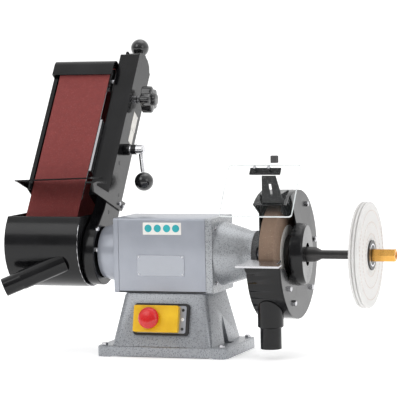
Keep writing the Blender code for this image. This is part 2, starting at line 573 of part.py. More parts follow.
def make_table(arm_world):
    """Work table in front of the belt, on a bracket bolted to the side of the arm."""
    slide = pivot("table_pivot", (FRAME_X1, 0.081, 0.277))
    tilt = (-TABLE_RISE, TABLE_TILT * -1, 0)
    corner = {"at": (TABLE_X1, TABLE_REAR, TABLE_Z), "turn": tilt}
    wide, deep = TABLE_X0 - TABLE_X1, TABLE_FRONT - TABLE_REAR
    top = prism("work_table", [(wide, 0), (wide, deep), (0, deep), (0, 0)], -0.0025, 0, "black_paint",
                normal="Z", **corner)
    gusset = prism("table_gusset", [(deep + 0.002, -0.002), (-0.002, -0.002), (-0.009, -0.017)],
                   wide + 0.0005, wide + 0.003, "black_paint", **corner)
    cut(top, gusset, "UNION")
    side = FRAME_X1 + 0.0006
    arm_plate = [(-0.0650, 0.3310), (0.1087, 0.2797), (0.0855, 0.2650), (-0.0600, 0.3130)]
    bracket = prism("table_bracket", arm_plate, side, side + 0.0034, "black_paint")
    flange = [(-0.0450, 0.3325), (0.0150, 0.3290), (0.0150, 0.3255), (-0.0450, 0.3290)]
    cut(bracket, prism("table_flange", flange, TABLE_X1 - 0.012, side + 0.001, "black_paint"), "UNION")
    rib = [(-0.0640, 0.3305), (-0.0450, 0.3325), (-0.0450, 0.3260), (-0.0600, 0.3255)]
    cut(bracket, prism("flange_rib", rib, side, side + 0.0034, "black_paint"), "UNION")
    for part in (top, bracket):
        hold_world(part, slide)
    hold_world(slide, arm_world)


# ---------------------------------------------------------------- wheel guard

def guard_outline(hub, upper, lower):
    """Disc cut away at the front, in front of a line at the distance hub from the shaft."""
    rim = arc(GUARD_R, lower, 360 + upper, 34)
    return rim + [(-hub, 0.080), (-hub, -0.010)]


def make_guard():
    """Sheet guard round the grinding wheel, its bolted cover and its dust spigot."""
    centre = {"at": (0, 0, AXIS_Z)}
    rim = arc(GUARD_R, 186, 486, 38)
    lip = arc(GUARD_R - SHEET, 486, 186, 38)
    shell = prism("wheel_guard", rim + lip, GUARD_X0 + SHEET / 2, GUARD_X1 - SHEET - GAP, "black_paint",
                  **centre)
    back = prism("guard_back", guard_outline(0.036, 126, 187), GUARD_X0, GUARD_X0 + SHEET, "black_paint",
                 **centre)
    cut(shell, back, "UNION")
    cut(shell, turned("guard_bore", rod(0.1, 0.185, 0.022), "rubber", segments=20, **centre))
    cut(shell, turned("guard_mouth", rod(-0.2, 0.0, 0.0215), "rubber", segments=20, toward=(0, 0, 1),
                      at=(SPIGOT2_X, SPIGOT2_Y, 0.140)))
    edge = arc(GUARD_R, 187, 472, 36)
    hub = arc(HUB_R, 103, 212, 10)
    strap = [(-0.067, -0.044), (-0.095, -0.019)]
    cover = prism("guard_cover", edge + hub + strap, GUARD_X1 - SHEET, GUARD_X1, "black_paint", **centre)
    dome = turned("cover_dome", [(GUARD_X1 - 0.002, 0), (GUARD_X1 - 0.002, HUB_R), (0.262, HUB_R - 0.002),
                                 (0.266, HUB_R - 0.005), (0.266, 0)], "black_paint", segments=36, **centre)
    tip_face(dome)
    cut(cover, dome, "UNION")
    cut(cover, turned("cover_hollow", [(0.2, 0), (0.2, HUB_R - 0.003), (0.256, HUB_R - 0.004), (0.256, 0)],
                      "rubber", segments=36, **centre))
    cut(cover, turned("cover_bore", rod(0.2, 0.3, 0.022), "rubber", segments=24, **centre))
    spout = turned("guard_spigot", [(0.0202, 0.0200), (0.060, 0.0200), (0.062, 0.0245), (0.115, 0.0245),
                                    (0.115, 0.0215), (0.060, 0.0215), (0.058, 0.0170), (0.0202, 0.0170)],
                   "black_paint", segments=24, toward=(0, 0, 1), at=(SPIGOT2_X, SPIGOT2_Y, 0))
    cut(spout, prism("spout_trim", arc(GUARD_R + 0.0009, 0, 354, 59), 0.1, 0.3, "rubber", **centre))


def tip_face(dome):
    """Lean the outer face of the cover's boss, so that it stands highest at the front."""
    for vert in dome.data.vertices:
        if vert.co.x > GUARD_X1:
            vert.co.x -= 0.10 * vert.co.y


def make_tool_rest():
    """Steel rest in front of the wheel, with a prong on each side, on a bracket that slides to it."""
    slide = pivot("rest_pivot", (0.2115, -0.125, 0.1860))
    plan = [(-0.0425, -0.022), (0.042, -0.022), (0.042, -0.003), (0.032, -0.003), (0.032, 0.028),
            (0.0195, 0.028),
            (0.0195, 0.021), (-0.013, 0.021), (-0.013, 0.028), (-0.034, 0.028), (-0.034, -0.003),
            (-0.0425, -0.003)]
    prism("tool_rest", plan, -0.004, 0.0, "steel", normal="Z", parent=slide, turn=(8, 0, 0))
    web = [(0.000, -0.0048), (0.027, -0.0010), (0.040, -0.024), (0.032, -0.028), (0.010, -0.016)]
    prism("rest_bracket", web, -0.0333, -0.0299, "black_paint", parent=slide)


def make_shield():
    """Eye shield on a cross bar, carried by a slotted plate on top of the guard."""
    post = pivot("post_pivot", (0.220, -0.0665, 0.2953), turn=(24, 0, 0))
    plate = prism("shield_post", [(-0.021, 0.000), (0.021, 0.000), (0.0135, 0.0565), (-0.0135, 0.0565)],
                  -0.003, 0.0, "black_paint", normal="Y", parent=post)
    cut(plate, block("post_slot", (-0.0025, -0.01, 0.015), (0.0025, 0.01, 0.040), "rubber", parent=post))
    bar = pivot("bar_pivot", (0, BAR_Y, BAR_Z))
    tilted = {"parent": bar, "turn": (-SHIELD_TILT, 0, 0)}
    block("shield_bar", (0.185, -0.0035, -0.007), (0.245, 0.0005, 0.007), "black_paint", **tilted)
    middle = ((SHIELD_X0 + SHIELD_X1) / 2, 0.012 - SHIELD_LENGTH / 2)
    sheet = rounded((SHIELD_X1 - SHIELD_X0) / 2, SHIELD_LENGTH / 2, 0.006, 3, middle)
    prism("eye_shield", sheet, -0.0068, -0.0038, "clear", normal="Y", **tilted)
    knob = pivot("shield_knob_pivot", (0.229, BAR_Y + 0.012, BAR_Z + 0.016))
    turned("shield_knob", rod(0.0, 0.014, 0.0075, 0.001), "black_plastic", segments=16, toward=(0, 0, 1),
           parent=knob)


def main():
    """Model the whole machine."""
    clear_scene()
    make_pedestal()
    make_bottom_cover()
    make_capacitor()
    make_cable_gland()
    make_switch()
    make_motor()
    make_rotor()
    arm = pivot("arm_pivot", (0, 0, AXIS_Z), turn=(-LEAN, 0, 0))
    make_belt(arm)
    make_frame(arm)
    make_back_cover(arm)
    make_top_cover(arm)
    make_hood(arm)
    make_tension(arm)
    make_tracking(arm)
    make_clamp(arm)
    make_table(arm)
    make_guard()
    make_tool_rest()
    make_shield()


main()
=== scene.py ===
"""Looks of a belt, wheel and buffing grinder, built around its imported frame.

Every length is in metres, in the frame's own axes: +X along the shaft to the buffing wheel,
+Y to the back and +Z up.
"""
from __future__ import annotations

import json
import logging
from collections.abc import Callable, Iterable, Sequence
from dataclasses import dataclass, replace
from enum import Enum
from math import atan, cos, pi, radians, sin, tan

import bmesh
import bpy
from mathutils import Matrix, Vector

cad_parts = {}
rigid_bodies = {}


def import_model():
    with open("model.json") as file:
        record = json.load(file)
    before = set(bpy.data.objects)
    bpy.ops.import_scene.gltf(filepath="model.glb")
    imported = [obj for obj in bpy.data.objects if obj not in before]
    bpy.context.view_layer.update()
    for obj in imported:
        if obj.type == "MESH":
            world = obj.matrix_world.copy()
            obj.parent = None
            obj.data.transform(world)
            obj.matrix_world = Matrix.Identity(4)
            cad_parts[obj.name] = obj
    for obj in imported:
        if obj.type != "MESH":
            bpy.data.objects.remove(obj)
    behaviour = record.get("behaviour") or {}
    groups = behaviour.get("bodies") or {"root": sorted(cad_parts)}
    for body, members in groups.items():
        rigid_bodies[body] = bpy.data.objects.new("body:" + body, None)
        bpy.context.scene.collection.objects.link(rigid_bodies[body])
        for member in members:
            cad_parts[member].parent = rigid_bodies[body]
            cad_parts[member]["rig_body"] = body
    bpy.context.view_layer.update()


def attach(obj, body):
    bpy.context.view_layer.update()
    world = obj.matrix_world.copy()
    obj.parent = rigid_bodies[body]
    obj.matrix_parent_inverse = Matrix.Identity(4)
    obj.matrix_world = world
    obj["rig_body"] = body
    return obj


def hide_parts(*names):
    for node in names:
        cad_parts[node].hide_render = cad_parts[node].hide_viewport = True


LOG = logging.getLogger("grinder")
SMOOTH_ANGLE = radians(34)
MERGE = 1e-6
AXIS_Z = 0.192
Point = Sequence[float]


# ---------------------------------------------------------------- shared shader effects

class Field:
    """A shader node group under construction, with short calls for the nodes that it holds."""

    def __init__(self, name: str, scale: float) -> None:
        """Open the group with its inputs Vector and Scale and its outputs Height, Tone and Mark.

        Args:
            name: Name of the node group.
            scale: Starting value of its Scale.
        """
        self.tree = bpy.data.node_groups.new(name, "ShaderNodeTree")
        self.tree.interface.new_socket("Vector", in_out="INPUT", socket_type="NodeSocketVector")
        sized = self.tree.interface.new_socket("Scale", in_out="INPUT", socket_type="NodeSocketFloat")
        sized.default_value = scale
        for label in ("Height", "Tone", "Mark"):
            self.tree.interface.new_socket(label, in_out="OUTPUT", socket_type="NodeSocketFloat")
        self.given = self.tree.nodes.new("NodeGroupInput").outputs
        self.result = self.tree.nodes.new("NodeGroupOutput").inputs

    def link(self, source: object, target: object) -> None:
        """Join two sockets, or write a plain value into the second."""
        if isinstance(source, bpy.types.NodeSocket):
            self.tree.links.new(source, target)
        else:
            target.default_value = source

    def maths(self, operation: str, first: object, second: object = 0.0, third: object = 0.0) -> object:
        """Return the output of a Math node."""
        node = self.tree.nodes.new("ShaderNodeMath")
        node.operation = operation
        for value, socket in zip((first, second, third), node.inputs):
            self.link(value, socket)
        return node.outputs[0]

    def stretched(self, vector: object, scale: Point) -> object:
        """Return the vector stretched along its axes."""
        node = self.tree.nodes.new("ShaderNodeVectorMath")
        node.operation = "MULTIPLY"
        self.link(vector, node.inputs[0])
        node.inputs[1].default_value = scale
        return node.outputs[0]

    def noise(self, vector: object, scale: object, detail: float = 2.0, rough: float = 0.5) -> object:
        """Return the value of a Noise texture."""
        node = self.tree.nodes.new("ShaderNodeTexNoise")
        self.link(vector, node.inputs["Vector"])
        self.link(scale, node.inputs["Scale"])
        node.inputs["Detail"].default_value = detail
        node.inputs["Roughness"].default_value = rough
        return node.outputs["Fac"]

    def cells(self, vector: object, scale: object, feature: str = "SMOOTH_F1") -> object:
        """Return an output of a Voronoi texture."""
        node = self.tree.nodes.new("ShaderNodeTexVoronoi")
        node.feature = feature
        self.link(vector, node.inputs["Vector"])
        self.link(scale, node.inputs["Scale"])
        return node.outputs["Distance"]

    def steep(self, value: object, low: float, high: float) -> object:
        """Return the value spread from 0 at low to 1 at high."""
        node = self.tree.nodes.new("ShaderNodeMapRange")
        node.interpolation_type = "SMOOTHSTEP"
        self.link(value, node.inputs["Value"])
        node.inputs["From Min"].default_value = low
        node.inputs["From Max"].default_value = high
        return node.outputs["Result"]


def hammer_group() -> bpy.types.NodeTree:
    """Dimples and pools of hammertone enamel: Height, Tone and Mark."""
    f = Field("hammertone", 300.0)
    warp = f.noise(f.given["Vector"], f.maths("MULTIPLY", f.given["Scale"], 0.35), 2.0)
    pools = f.cells(f.given["Vector"], f.given["Scale"])
    height = f.maths("MULTIPLY_ADD", warp, 0.6, pools)
    f.link(height, f.result["Height"])
    f.link(f.steep(height, 0.45, 0.95), f.result["Tone"])
    f.link(f.steep(f.noise(f.given["Vector"], 24.0, 4.0, 0.6), 0.56, 0.8), f.result["Mark"])
    return f.tree


def enamel_group() -> bpy.types.NodeTree:
    """Orange peel of sprayed paint with faint dust: Height, Tone and Mark."""
    f = Field("sprayed_enamel", 260.0)
    peel = f.noise(f.given["Vector"], f.given["Scale"], 3.0, 0.45)
    cloud = f.noise(f.given["Vector"], 18.0, 3.0, 0.55)
    dust = f.cells(f.given["Vector"], f.maths("MULTIPLY", f.given["Scale"], 1.7), "F1")
    f.link(peel, f.result["Height"])
    f.link(f.steep(cloud, 0.3, 0.72), f.result["Tone"])
    speck = f.steep(dust, 0.11, 0.05)
    f.link(f.maths("MULTIPLY", speck, f.steep(cloud, 0.5, 0.75)), f.result["Mark"])
    return f.tree


def brushed_group() -> bpy.types.NodeTree:
    """Long fine grinding lines along X with a few scratches: Height, Tone and Mark."""
    f = Field("brushed_lines", 60.0)
    lines = f.noise(f.stretched(f.given["Vector"], (1.0, 38.0, 38.0)), f.given["Scale"], 4.0, 0.7)
    broad = f.noise(f.given["Vector"], 30.0, 3.0, 0.6)
    scratch = f.noise(f.stretched(f.given["Vector"], (30.0, 3.0, 3.0)), f.given["Scale"], 1.0)
    f.link(lines, f.result["Height"])
    f.link(f.maths("MULTIPLY_ADD", broad, 0.5, f.maths("MULTIPLY", lines, 0.5)), f.result["Tone"])
    f.link(f.steep(scratch, 0.68, 0.74), f.result["Mark"])
    return f.tree


def turned_group() -> bpy.types.NodeTree:
    """Fine rings that a lathe leaves round the shaft: Height, Tone and Mark."""
    f = Field("lathe_rings", 900.0)
    parts = f.tree.nodes.new("ShaderNodeSeparateXYZ")
    f.link(f.given["Vector"], parts.inputs[0])
    off_axis = f.maths("SUBTRACT", parts.outputs["Z"], AXIS_Z)
    across = f.maths("SQRT", f.maths("ADD", f.maths("MULTIPLY", parts.outputs["Y"], parts.outputs["Y"]),
                                     f.maths("MULTIPLY", off_axis, off_axis)))
    place = f.tree.nodes.new("ShaderNodeCombineXYZ")
    f.link(parts.outputs["X"], place.inputs["X"])
    f.link(across, place.inputs["Y"])
    rings = f.noise(place.outputs[0], f.given["Scale"], 2.0, 0.6)
    broad = f.noise(f.given["Vector"], 60.0, 3.0, 0.6)
    f.link(rings, f.result["Height"])
    f.link(f.maths("MULTIPLY_ADD", broad, 0.55, f.maths("MULTIPLY", rings, 0.45)), f.result["Tone"])
    f.link(f.steep(broad, 0.62, 0.8), f.result["Mark"])
    return f.tree


def grit_group() -> bpy.types.NodeTree:
    """Close-packed abrasive grains with dark and bright ones: Height, Tone and Mark."""
    f = Field("abrasive_grain", 900.0)
    grain = f.cells(f.given["Vector"], f.given["Scale"], "F1")
    cloud = f.noise(f.given["Vector"], f.maths("MULTIPLY", f.given["Scale"], 0.12), 4.0, 0.65)
    tint = f.noise(f.given["Vector"], f.maths("MULTIPLY", f.given["Scale"], 0.9), 1.0)
    f.link(f.maths("SUBTRACT", 1.0, grain), f.result["Height"])
    f.link(f.maths("MULTIPLY_ADD", cloud, 0.7, f.maths("MULTIPLY", tint, 0.35)), f.result["Tone"])
    f.link(f.steep(tint, 0.66, 0.76), f.result["Mark"])
    return f.tree


def cloth_group() -> bpy.types.NodeTree:
    """Plain weave seen on the cut cotton discs, with fuzz and soiling: Height, Tone and Mark."""
    f = Field("cotton_cloth", 700.0)
    warp = f.noise(f.stretched(f.given["Vector"], (1.0, 1.0, 7.0)), f.given["Scale"], 2.0, 0.6)
    weft = f.noise(f.stretched(f.given["Vector"], (1.0, 7.0, 1.0)), f.given["Scale"], 2.0, 0.6)
    soil = f.noise(f.given["Vector"], 22.0, 5.0, 0.6)
    f.link(f.maths("ADD", warp, weft), f.result["Height"])
    f.link(f.maths("MULTIPLY_ADD", warp, 0.4, f.maths("MULTIPLY", soil, 0.6)), f.result["Tone"])
    f.link(f.steep(soil, 0.52, 0.8), f.result["Mark"])
    return f.tree


def mould_group() -> bpy.types.NodeTree:
    """Fine spark texture of a plastic moulding with scuffs: Height, Tone and Mark."""
    f = Field("moulded_skin", 700.0)
    skin = f.noise(f.given["Vector"], f.given["Scale"], 3.0, 0.6)
    cloud = f.noise(f.given["Vector"], 40.0, 3.0, 0.5)
    scuff = f.noise(f.stretched(f.given["Vector"], (2.0, 2.0, 14.0)), 70.0, 2.0, 0.6)
    f.link(skin, f.result["Height"])
    f.link(f.steep(cloud, 0.3, 0.75), f.result["Tone"])
    f.link(f.steep(scuff, 0.66, 0.78), f.result["Mark"])
    return f.tree


class Effect(Enum):
    """The surface effects that the finishes share."""

    HAMMER = "hammertone"
    ENAMEL = "sprayed_enamel"
    BRUSHED = "brushed_lines"
    TURNED = "lathe_rings"
    GRIT = "abrasive_grain"
    CLOTH = "cotton_cloth"
    MOULD = "moulded_skin"

    def group(self) -> bpy.types.NodeTree:
        """Return the node group of this effect, built the first time it is asked for."""
        return bpy.data.node_groups.get(self.value) or EFFECT_MAKERS[self]()


EFFECT_MAKERS: dict[Effect, Callable[[], bpy.types.NodeTree]] = {
    Effect.HAMMER: hammer_group, Effect.ENAMEL: enamel_group, Effect.BRUSHED: brushed_group,
    Effect.TURNED: turned_group, Effect.GRIT: grit_group, Effect.CLOTH: cloth_group,
    Effect.MOULD: mould_group,
}


# ---------------------------------------------------------------- finishes

@dataclass(frozen=True)
class Finish:
    """One finish: two tones, a mark colour and a surface effect."""

    name: str
    slot: str
    effect: Effect
    light: tuple[float, float, float]
    dark: tuple[float, float, float]
    mark: tuple[float, float, float]
    scale: float
    relief: float
    rough: tuple[float, float] = (0.3, 0.45)
    metallic: float = 0.0
    coat: float = 0.0
    marked: float = 0.5
    clear: float = 0.0
    sheen: float = 0.0
    glint: float = 0.5

    def material(self) -> bpy.types.Material:
        """Return this finish's material, built the first time it is asked for."""
        known = bpy.data.materials.get(self.name)
        if known:
            return known
        made = bpy.data.materials.new(self.name)
        made.use_nodes = True
        tree, link = made.node_tree, made.node_tree.links.new
        shader = tree.nodes["Principled BSDF"]
        coords = tree.nodes.new("ShaderNodeTexCoord")
        effect = tree.nodes.new("ShaderNodeGroup")
        effect.node_tree = self.effect.group()
        effect.inputs["Scale"].default_value = self.scale
        link(coords.outputs["Object"], effect.inputs["Vector"])
        toned = self._mixed(tree, effect.outputs["Tone"], self.dark, self.light)
        part = tree.nodes.new("ShaderNodeMath")
        part.operation = "MULTIPLY"
        part.inputs[1].default_value = self.marked
        link(effect.outputs["Mark"], part.inputs[0])
        marked = self._mixed(tree, part.outputs[0], toned, self.mark)
        link(marked, shader.inputs["Base Color"])
        spread = tree.nodes.new("ShaderNodeMapRange")
        spread.inputs["To Min"].default_value, spread.inputs["To Max"].default_value = self.rough
        link(effect.outputs["Tone"], spread.inputs["Value"])
        link(spread.outputs["Result"], shader.inputs["Roughness"])
        bump = tree.nodes.new("ShaderNodeBump")
        bump.inputs["Strength"].default_value = 1.0
        bump.inputs["Distance"].default_value = self.relief
        link(effect.outputs["Height"], bump.inputs["Height"])
        link(bump.outputs["Normal"], shader.inputs["Normal"])
        shader.inputs["Metallic"].default_value = self.metallic
        shader.inputs["Coat Weight"].default_value = self.coat
        shader.inputs["Coat Roughness"].default_value = 0.08
        shader.inputs["Alpha"].default_value = 1.0 - self.clear
        shader.inputs["Sheen Weight"].default_value = self.sheen
        shader.inputs["Specular IOR Level"].default_value = self.glint
        return made

    @staticmethod
    def _mixed(tree: bpy.types.NodeTree, factor: object, first: object, second: object) -> object:
        """Return a colour between two colours or sockets."""
        node = tree.nodes.new("ShaderNodeMix")
        node.data_type = "RGBA"
        sockets = [s for s in node.inputs if s.enabled]
        tree.links.new(factor, sockets[0])
        for value, socket in ((first, sockets[1]), (second, sockets[2])):
            if isinstance(value, bpy.types.NodeSocket):
                tree.links.new(value, socket)
            else:
                socket.default_value = (*value, 1.0)
        return next(s for s in node.outputs if s.enabled)


HAMMERED = Finish("silver_hammertone", "hammer_grey", Effect.HAMMER, (0.36, 0.375, 0.40),
                  (0.28, 0.292, 0.315), (0.32, 0.33, 0.35), 430.0, 0.00025, (0.24, 0.42), 0.35, 0.25, 0.12)
SMOOTH_GREY = Finish("silver_enamel", "smooth_grey", Effect.ENAMEL, (0.38, 0.40, 0.45), (0.34, 0.36, 0.41),
                     (0.45, 0.46, 0.50), 300.0, 0.00012, (0.3, 0.4), 0.25, 0.3, 0.3)
BELL_GREY = Finish("bell_hammertone", "hammer_grey", Effect.HAMMER, (0.38, 0.395, 0.415),
                   (0.31, 0.325, 0.345), (0.34, 0.345, 0.36), 420.0, 0.00025, (0.22, 0.4), 0.35, 0.3, 0.1)
BLACK_GLOSS = Finish("black_gloss_enamel", "black_enamel", Effect.ENAMEL, (0.006, 0.006, 0.007),
                     (0.003, 0.003, 0.0035), (0.04, 0.04, 0.04), 240.0, 0.00010, (0.16, 0.26), 0.0, 0.12,
                     0.25, glint=0.28)
BLACK_MOULD = Finish("matt_black_plastic", "black_moulding", Effect.MOULD, (0.022, 0.022, 0.024),
                     (0.012, 0.012, 0.013), (0.06, 0.06, 0.06), 900.0, 0.0001, (0.35, 0.5))
BLACK_BALL = Finish("black_phenolic", "black_knob", Effect.MOULD, (0.014, 0.014, 0.015),
                    (0.008, 0.008, 0.009), (0.05, 0.05, 0.05), 500.0, 0.00004, (0.08, 0.16), 0.0, 0.6)
DARK_STEEL = Finish("blackened_steel", "dark_steel", Effect.TURNED, (0.075, 0.072, 0.07),
                    (0.03, 0.03, 0.032), (0.16, 0.14, 0.12), 900.0, 0.00006, (0.28, 0.42), 0.75, 0.0, 0.6)
STEEL = Finish("ground_steel", "bright_steel", Effect.BRUSHED, (0.62, 0.62, 0.64), (0.44, 0.44, 0.46),
               (0.40, 0.38, 0.36), 60.0, 0.00005, (0.16, 0.32), 1.0, 0.0, 0.5)
TURNED_STEEL = Finish("turned_steel", "bright_steel", Effect.TURNED, (0.80, 0.80, 0.82), (0.58, 0.58, 0.60),
                      (0.42, 0.40, 0.38), 1200.0, 0.00005, (0.14, 0.28), 1.0, 0.0, 0.4)
BELT_CLOTH = Finish("abrasive_belt", "belt_grit", Effect.GRIT, (0.30, 0.055, 0.050), (0.15, 0.022, 0.022),
                    (0.50, 0.22, 0.20), 1000.0, 0.0005, (0.75, 0.95), 0.0, 0.0, 0.8)
WHEEL_STONE = Finish("brown_corundum", "wheel_grit", Effect.GRIT, (0.34, 0.23, 0.16), (0.17, 0.11, 0.08),
                     (0.55, 0.46, 0.38), 800.0, 0.0007, (0.7, 0.95), 0.0, 0.0, 0.7)
PAPER = Finish("blotter_paper", "cotton", Effect.CLOTH, (0.86, 0.84, 0.80), (0.76, 0.74, 0.70),
               (0.60, 0.55, 0.50), 500.0, 0.00008, (0.7, 0.9), marked=0.4)
COTTON = Finish("stitched_cotton", "cotton", Effect.CLOTH, (0.93, 0.92, 0.90), (0.80, 0.79, 0.78),
                (0.72, 0.66, 0.62), 620.0, 0.0008, (0.85, 1.0), marked=0.35, sheen=0.35)
THREAD = Finish("stitching_thread", "cotton", Effect.CLOTH, (0.80, 0.72, 0.68), (0.68, 0.60, 0.56),
                (0.4, 0.3, 0.26), 1500.0, 0.0002, (0.8, 0.95))
BRASS = Finish("polished_brass", "brass", Effect.TURNED, (0.86, 0.50, 0.14), (0.62, 0.30, 0.06),
               (0.36, 0.17, 0.04), 1000.0, 0.00008, (0.12, 0.26), 1.0, 0.0, 0.5)
RUBBER = Finish("wheel_tyre_rubber", "contact_rubber", Effect.MOULD, (0.035, 0.035, 0.035),
                (0.02, 0.02, 0.02), (0.09, 0.08, 0.08), 600.0, 0.0002, (0.7, 0.9))
RED = Finish("red_moulding", "red_cap", Effect.MOULD, (0.72, 0.012, 0.014), (0.58, 0.008, 0.010),
             (0.80, 0.12, 0.10), 800.0, 0.00006, (0.22, 0.34), 0.0, 0.3, 0.25)
YELLOW = Finish("yellow_moulding", "yellow_flap", Effect.MOULD, (0.90, 0.56, 0.012), (0.80, 0.46, 0.008),
                (0.62, 0.36, 0.02), 800.0, 0.00006, (0.28, 0.40), 0.0, 0.2, 0.25)
GREEN = Finish("green_moulding", "green_button", Effect.MOULD, (0.03, 0.42, 0.09), (0.02, 0.32, 0.06),
               (0.1, 0.5, 0.2), 800.0, 0.00006, (0.28, 0.40))
COPPER = Finish("copper_windings", "copper", Effect.TURNED, (0.66, 0.30, 0.15), (0.36, 0.14, 0.06),
                (0.2, 0.09, 0.04), 1500.0, 0.0003, (0.25, 0.4), 0.9, 0.0, 0.5)
CLEAR = Finish("clear_pane", "clear_sheet", Effect.MOULD, (0.30, 0.32, 0.32), (0.27, 0.29, 0.29),
               (0.85, 0.88, 0.88), 60.0, 0.0, (0.0, 0.02), clear=0.975, marked=0.1, glint=0.3)


TEAL = Finish("teal_print", "cotton", Effect.MOULD, (0.02, 0.42, 0.45), (0.015, 0.36, 0.40),
              (0.05, 0.5, 0.5), 900.0, 0.00003, (0.4, 0.5))
LEVER_BLACK = replace(BLACK_BALL, name="lever_phenolic", slot="black_enamel")
PLATE = replace(STEEL, name="blank_plate", light=(0.46, 0.48, 0.52), dark=(0.36, 0.38, 0.42), metallic=0.6)
# Near-white, half-clear paint for the shield's cut edge: a painted highlight, not the sheet's own colour.
EDGE_HIGHLIGHT = replace(CLEAR, name="painted_edge_highlight", light=(0.95, 0.97, 0.97), dark=(0.85, 0.9, 0.9), clear=0.35)
PALE_SCREW = replace(STEEL, name="pale_screw", light=(0.9, 0.9, 0.9), dark=(0.75, 0.75, 0.75), metallic=0.3)


# ---------------------------------------------------------------- mesh helpers

def rides_with(node: str) -> str:
    """Return the body that a CAD node belongs to."""
    return bpy.data.objects[node]["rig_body"]


def settle(name: str, bm: bmesh.types.BMesh, finish: Finish, body: str,
           stands_for: Sequence[str] = ()) -> bpy.types.Object:
    """Turn a bmesh into a finished piece on a body.

    Args:
        name: Name of the piece.
        bm: The geometry, in the frame's own place. It is freed.
        finish: The finish that it wears.
        body: The body that it rides on.
        stands_for: CAD nodes that it replaces.

    Returns:
        The new object.
    """
    bmesh.ops.remove_doubles(bm, verts=bm.verts, dist=MERGE)
    bmesh.ops.recalc_face_normals(bm, faces=bm.faces)
    mesh = bpy.data.meshes.new(name)
    bm.to_mesh(mesh)
    bm.free()
    mesh.shade_smooth()
    mesh.set_sharp_from_angle(angle=SMOOTH_ANGLE)
    mesh.materials.append(finish.material())
    piece = bpy.data.objects.new(name, mesh)
    bpy.context.scene.collection.objects.link(piece)
    return mount(piece, finish, body, stands_for)


def mount(piece: bpy.types.Object, finish: Finish, body: str,
          stands_for: Sequence[str] = ()) -> bpy.types.Object:
    """Put a piece on its body, hide the CAD nodes that it stands for and log its body and finish.

    Args:
        piece: The piece, with its place in its mesh.
        finish: The finish that it wears.
        body: The body that it rides on.
        stands_for: CAD nodes that it replaces.

    Returns:
        The same piece.
    """
    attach(piece, body)
    if stands_for:
        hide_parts(*stands_for)
    LOG.info("%s rides on %s in %s", piece.name, body, finish.name)
    return piece


def frame_of(toward: Point, at: Point) -> Matrix:
    """Return the matrix that carries +X to a direction and the origin to a point."""
    turn = Vector((1, 0, 0)).rotation_difference(Vector(toward)).to_matrix().to_4x4()
    return Matrix.Translation(Vector(at)) @ turn


def lathe(bm: bmesh.types.BMesh, profile: Sequence[tuple[float, float]], place: Matrix,
          segments: int = 48) -> None:
    """Add a turned solid, closed on itself or on its axis.

    Args:
        bm: The mesh that it is added to.
        profile: Points as (along the axis, radius).
        place: Its place; the axis is local X.
        segments: Steps round the axis.
    """
    rings = []
    for along, radius in profile:
        if radius < MERGE:
            rings.append([bm.verts.new(place @ Vector((along, 0, 0)))])
            continue
        turns = [2 * pi * i / segments for i in range(segments)]
        rings.append([bm.verts.new(place @ Vector((along, radius * cos(t), radius * sin(t)))) for t in turns])
    closed = len(rings[0]) > 1 or len(rings[-1]) > 1
    pairs = list(zip(rings, rings[1:])) + ([(rings[-1], rings[0])] if closed else [])
    for first, second in pairs:
        for i in range(segments):
            j = (i + 1) % segments
            corners = [first[i % len(first)], first[j % len(first)], second[j % len(second)],
                       second[i % len(second)]]
            unique = list(dict.fromkeys(corners))
            if len(unique) > 2:
                bm.faces.new(unique)


def slab(bm: bmesh.types.BMesh, outline: Sequence[tuple[float, float]], low: float, high: float,
         place: Matrix) -> None:
    """Add an extruded outline.

    Args:
        bm: The mesh that it is added to.
        outline: Corners in the local YZ plane.
        low: Start along local X.
        high: End along local X.
        place: Its place.
    """
    under = [bm.verts.new(place @ Vector((low, a, b))) for a, b in outline]
    over = [bm.verts.new(place @ Vector((high, a, b))) for a, b in outline]
    bm.faces.new(under)
    bm.faces.new(list(reversed(over)))
    for i, vert in enumerate(under):
        j = (i + 1) % len(under)
        bm.faces.new((vert, over[i], over[j], under[j]))


def arc(radius: float, start: float, end: float, steps: int, centre: Point = (0.0, 0.0)) -> list[tuple]:
    """Return the points of an arc between two angles in degrees."""
    turns = [radians(start + (end - start) * i / steps) for i in range(steps + 1)]
    return [(centre[0] + radius * cos(t), centre[1] + radius * sin(t)) for t in turns]


def rounded(half_a: float, half_b: float, radius: float, centre: Point = (0.0, 0.0),
            steps: int = 5) -> list[tuple]:
    """Return the outline of a rectangle with round corners.

    Args:
        half_a: Half its width.
        half_b: Half its height.
        radius: Radius of its corners.
        centre: Its middle.
        steps: Steps in each corner.

    Returns:
        Its points, anticlockwise.
    """
    points: list[tuple] = []
    for quarter, (side_a, side_b) in enumerate(((1, 1), (-1, 1), (-1, -1), (1, -1))):
        corner = (centre[0] + side_a * (half_a - radius), centre[1] + side_b * (half_b - radius))
        points += arc(radius, 90 * quarter, 90 * quarter + 90, steps, corner)
    return points


def wire(bm: bmesh.types.BMesh, route: Sequence[Vector], radius: float, sides: int = 8) -> None:
    """Add a round bar with closed ends.

    Args:
        bm: The mesh that it is added to.
        route: Points of its middle line.
        radius: Its radius.
        sides: Sides of its section.
    """
    rings = []
    for i, point in enumerate(route):
        before, after = route[max(i - 1, 0)], route[min(i + 1, len(route) - 1)]
        place = frame_of((after - before).normalized(), point)
        turns = [2 * pi * k / sides for k in range(sides)]
        rings.append([bm.verts.new(place @ Vector((0, radius * cos(t), radius * sin(t)))) for t in turns])
    for first, second in zip(rings, rings[1:]):
        shift = min(range(sides), key=lambda k: sum((first[i].co - second[(i + k) % sides].co).length
                                                    for i in range(sides)))
        for i in range(sides):
            j = (i + 1) % sides
            bm.faces.new((first[i], first[j], second[(j + shift) % sides], second[(i + shift) % sides]))
    bm.faces.new(rings[0])
    bm.faces.new(rings[-1])


# ---------------------------------------------------------------- machined and cast pieces from the frame

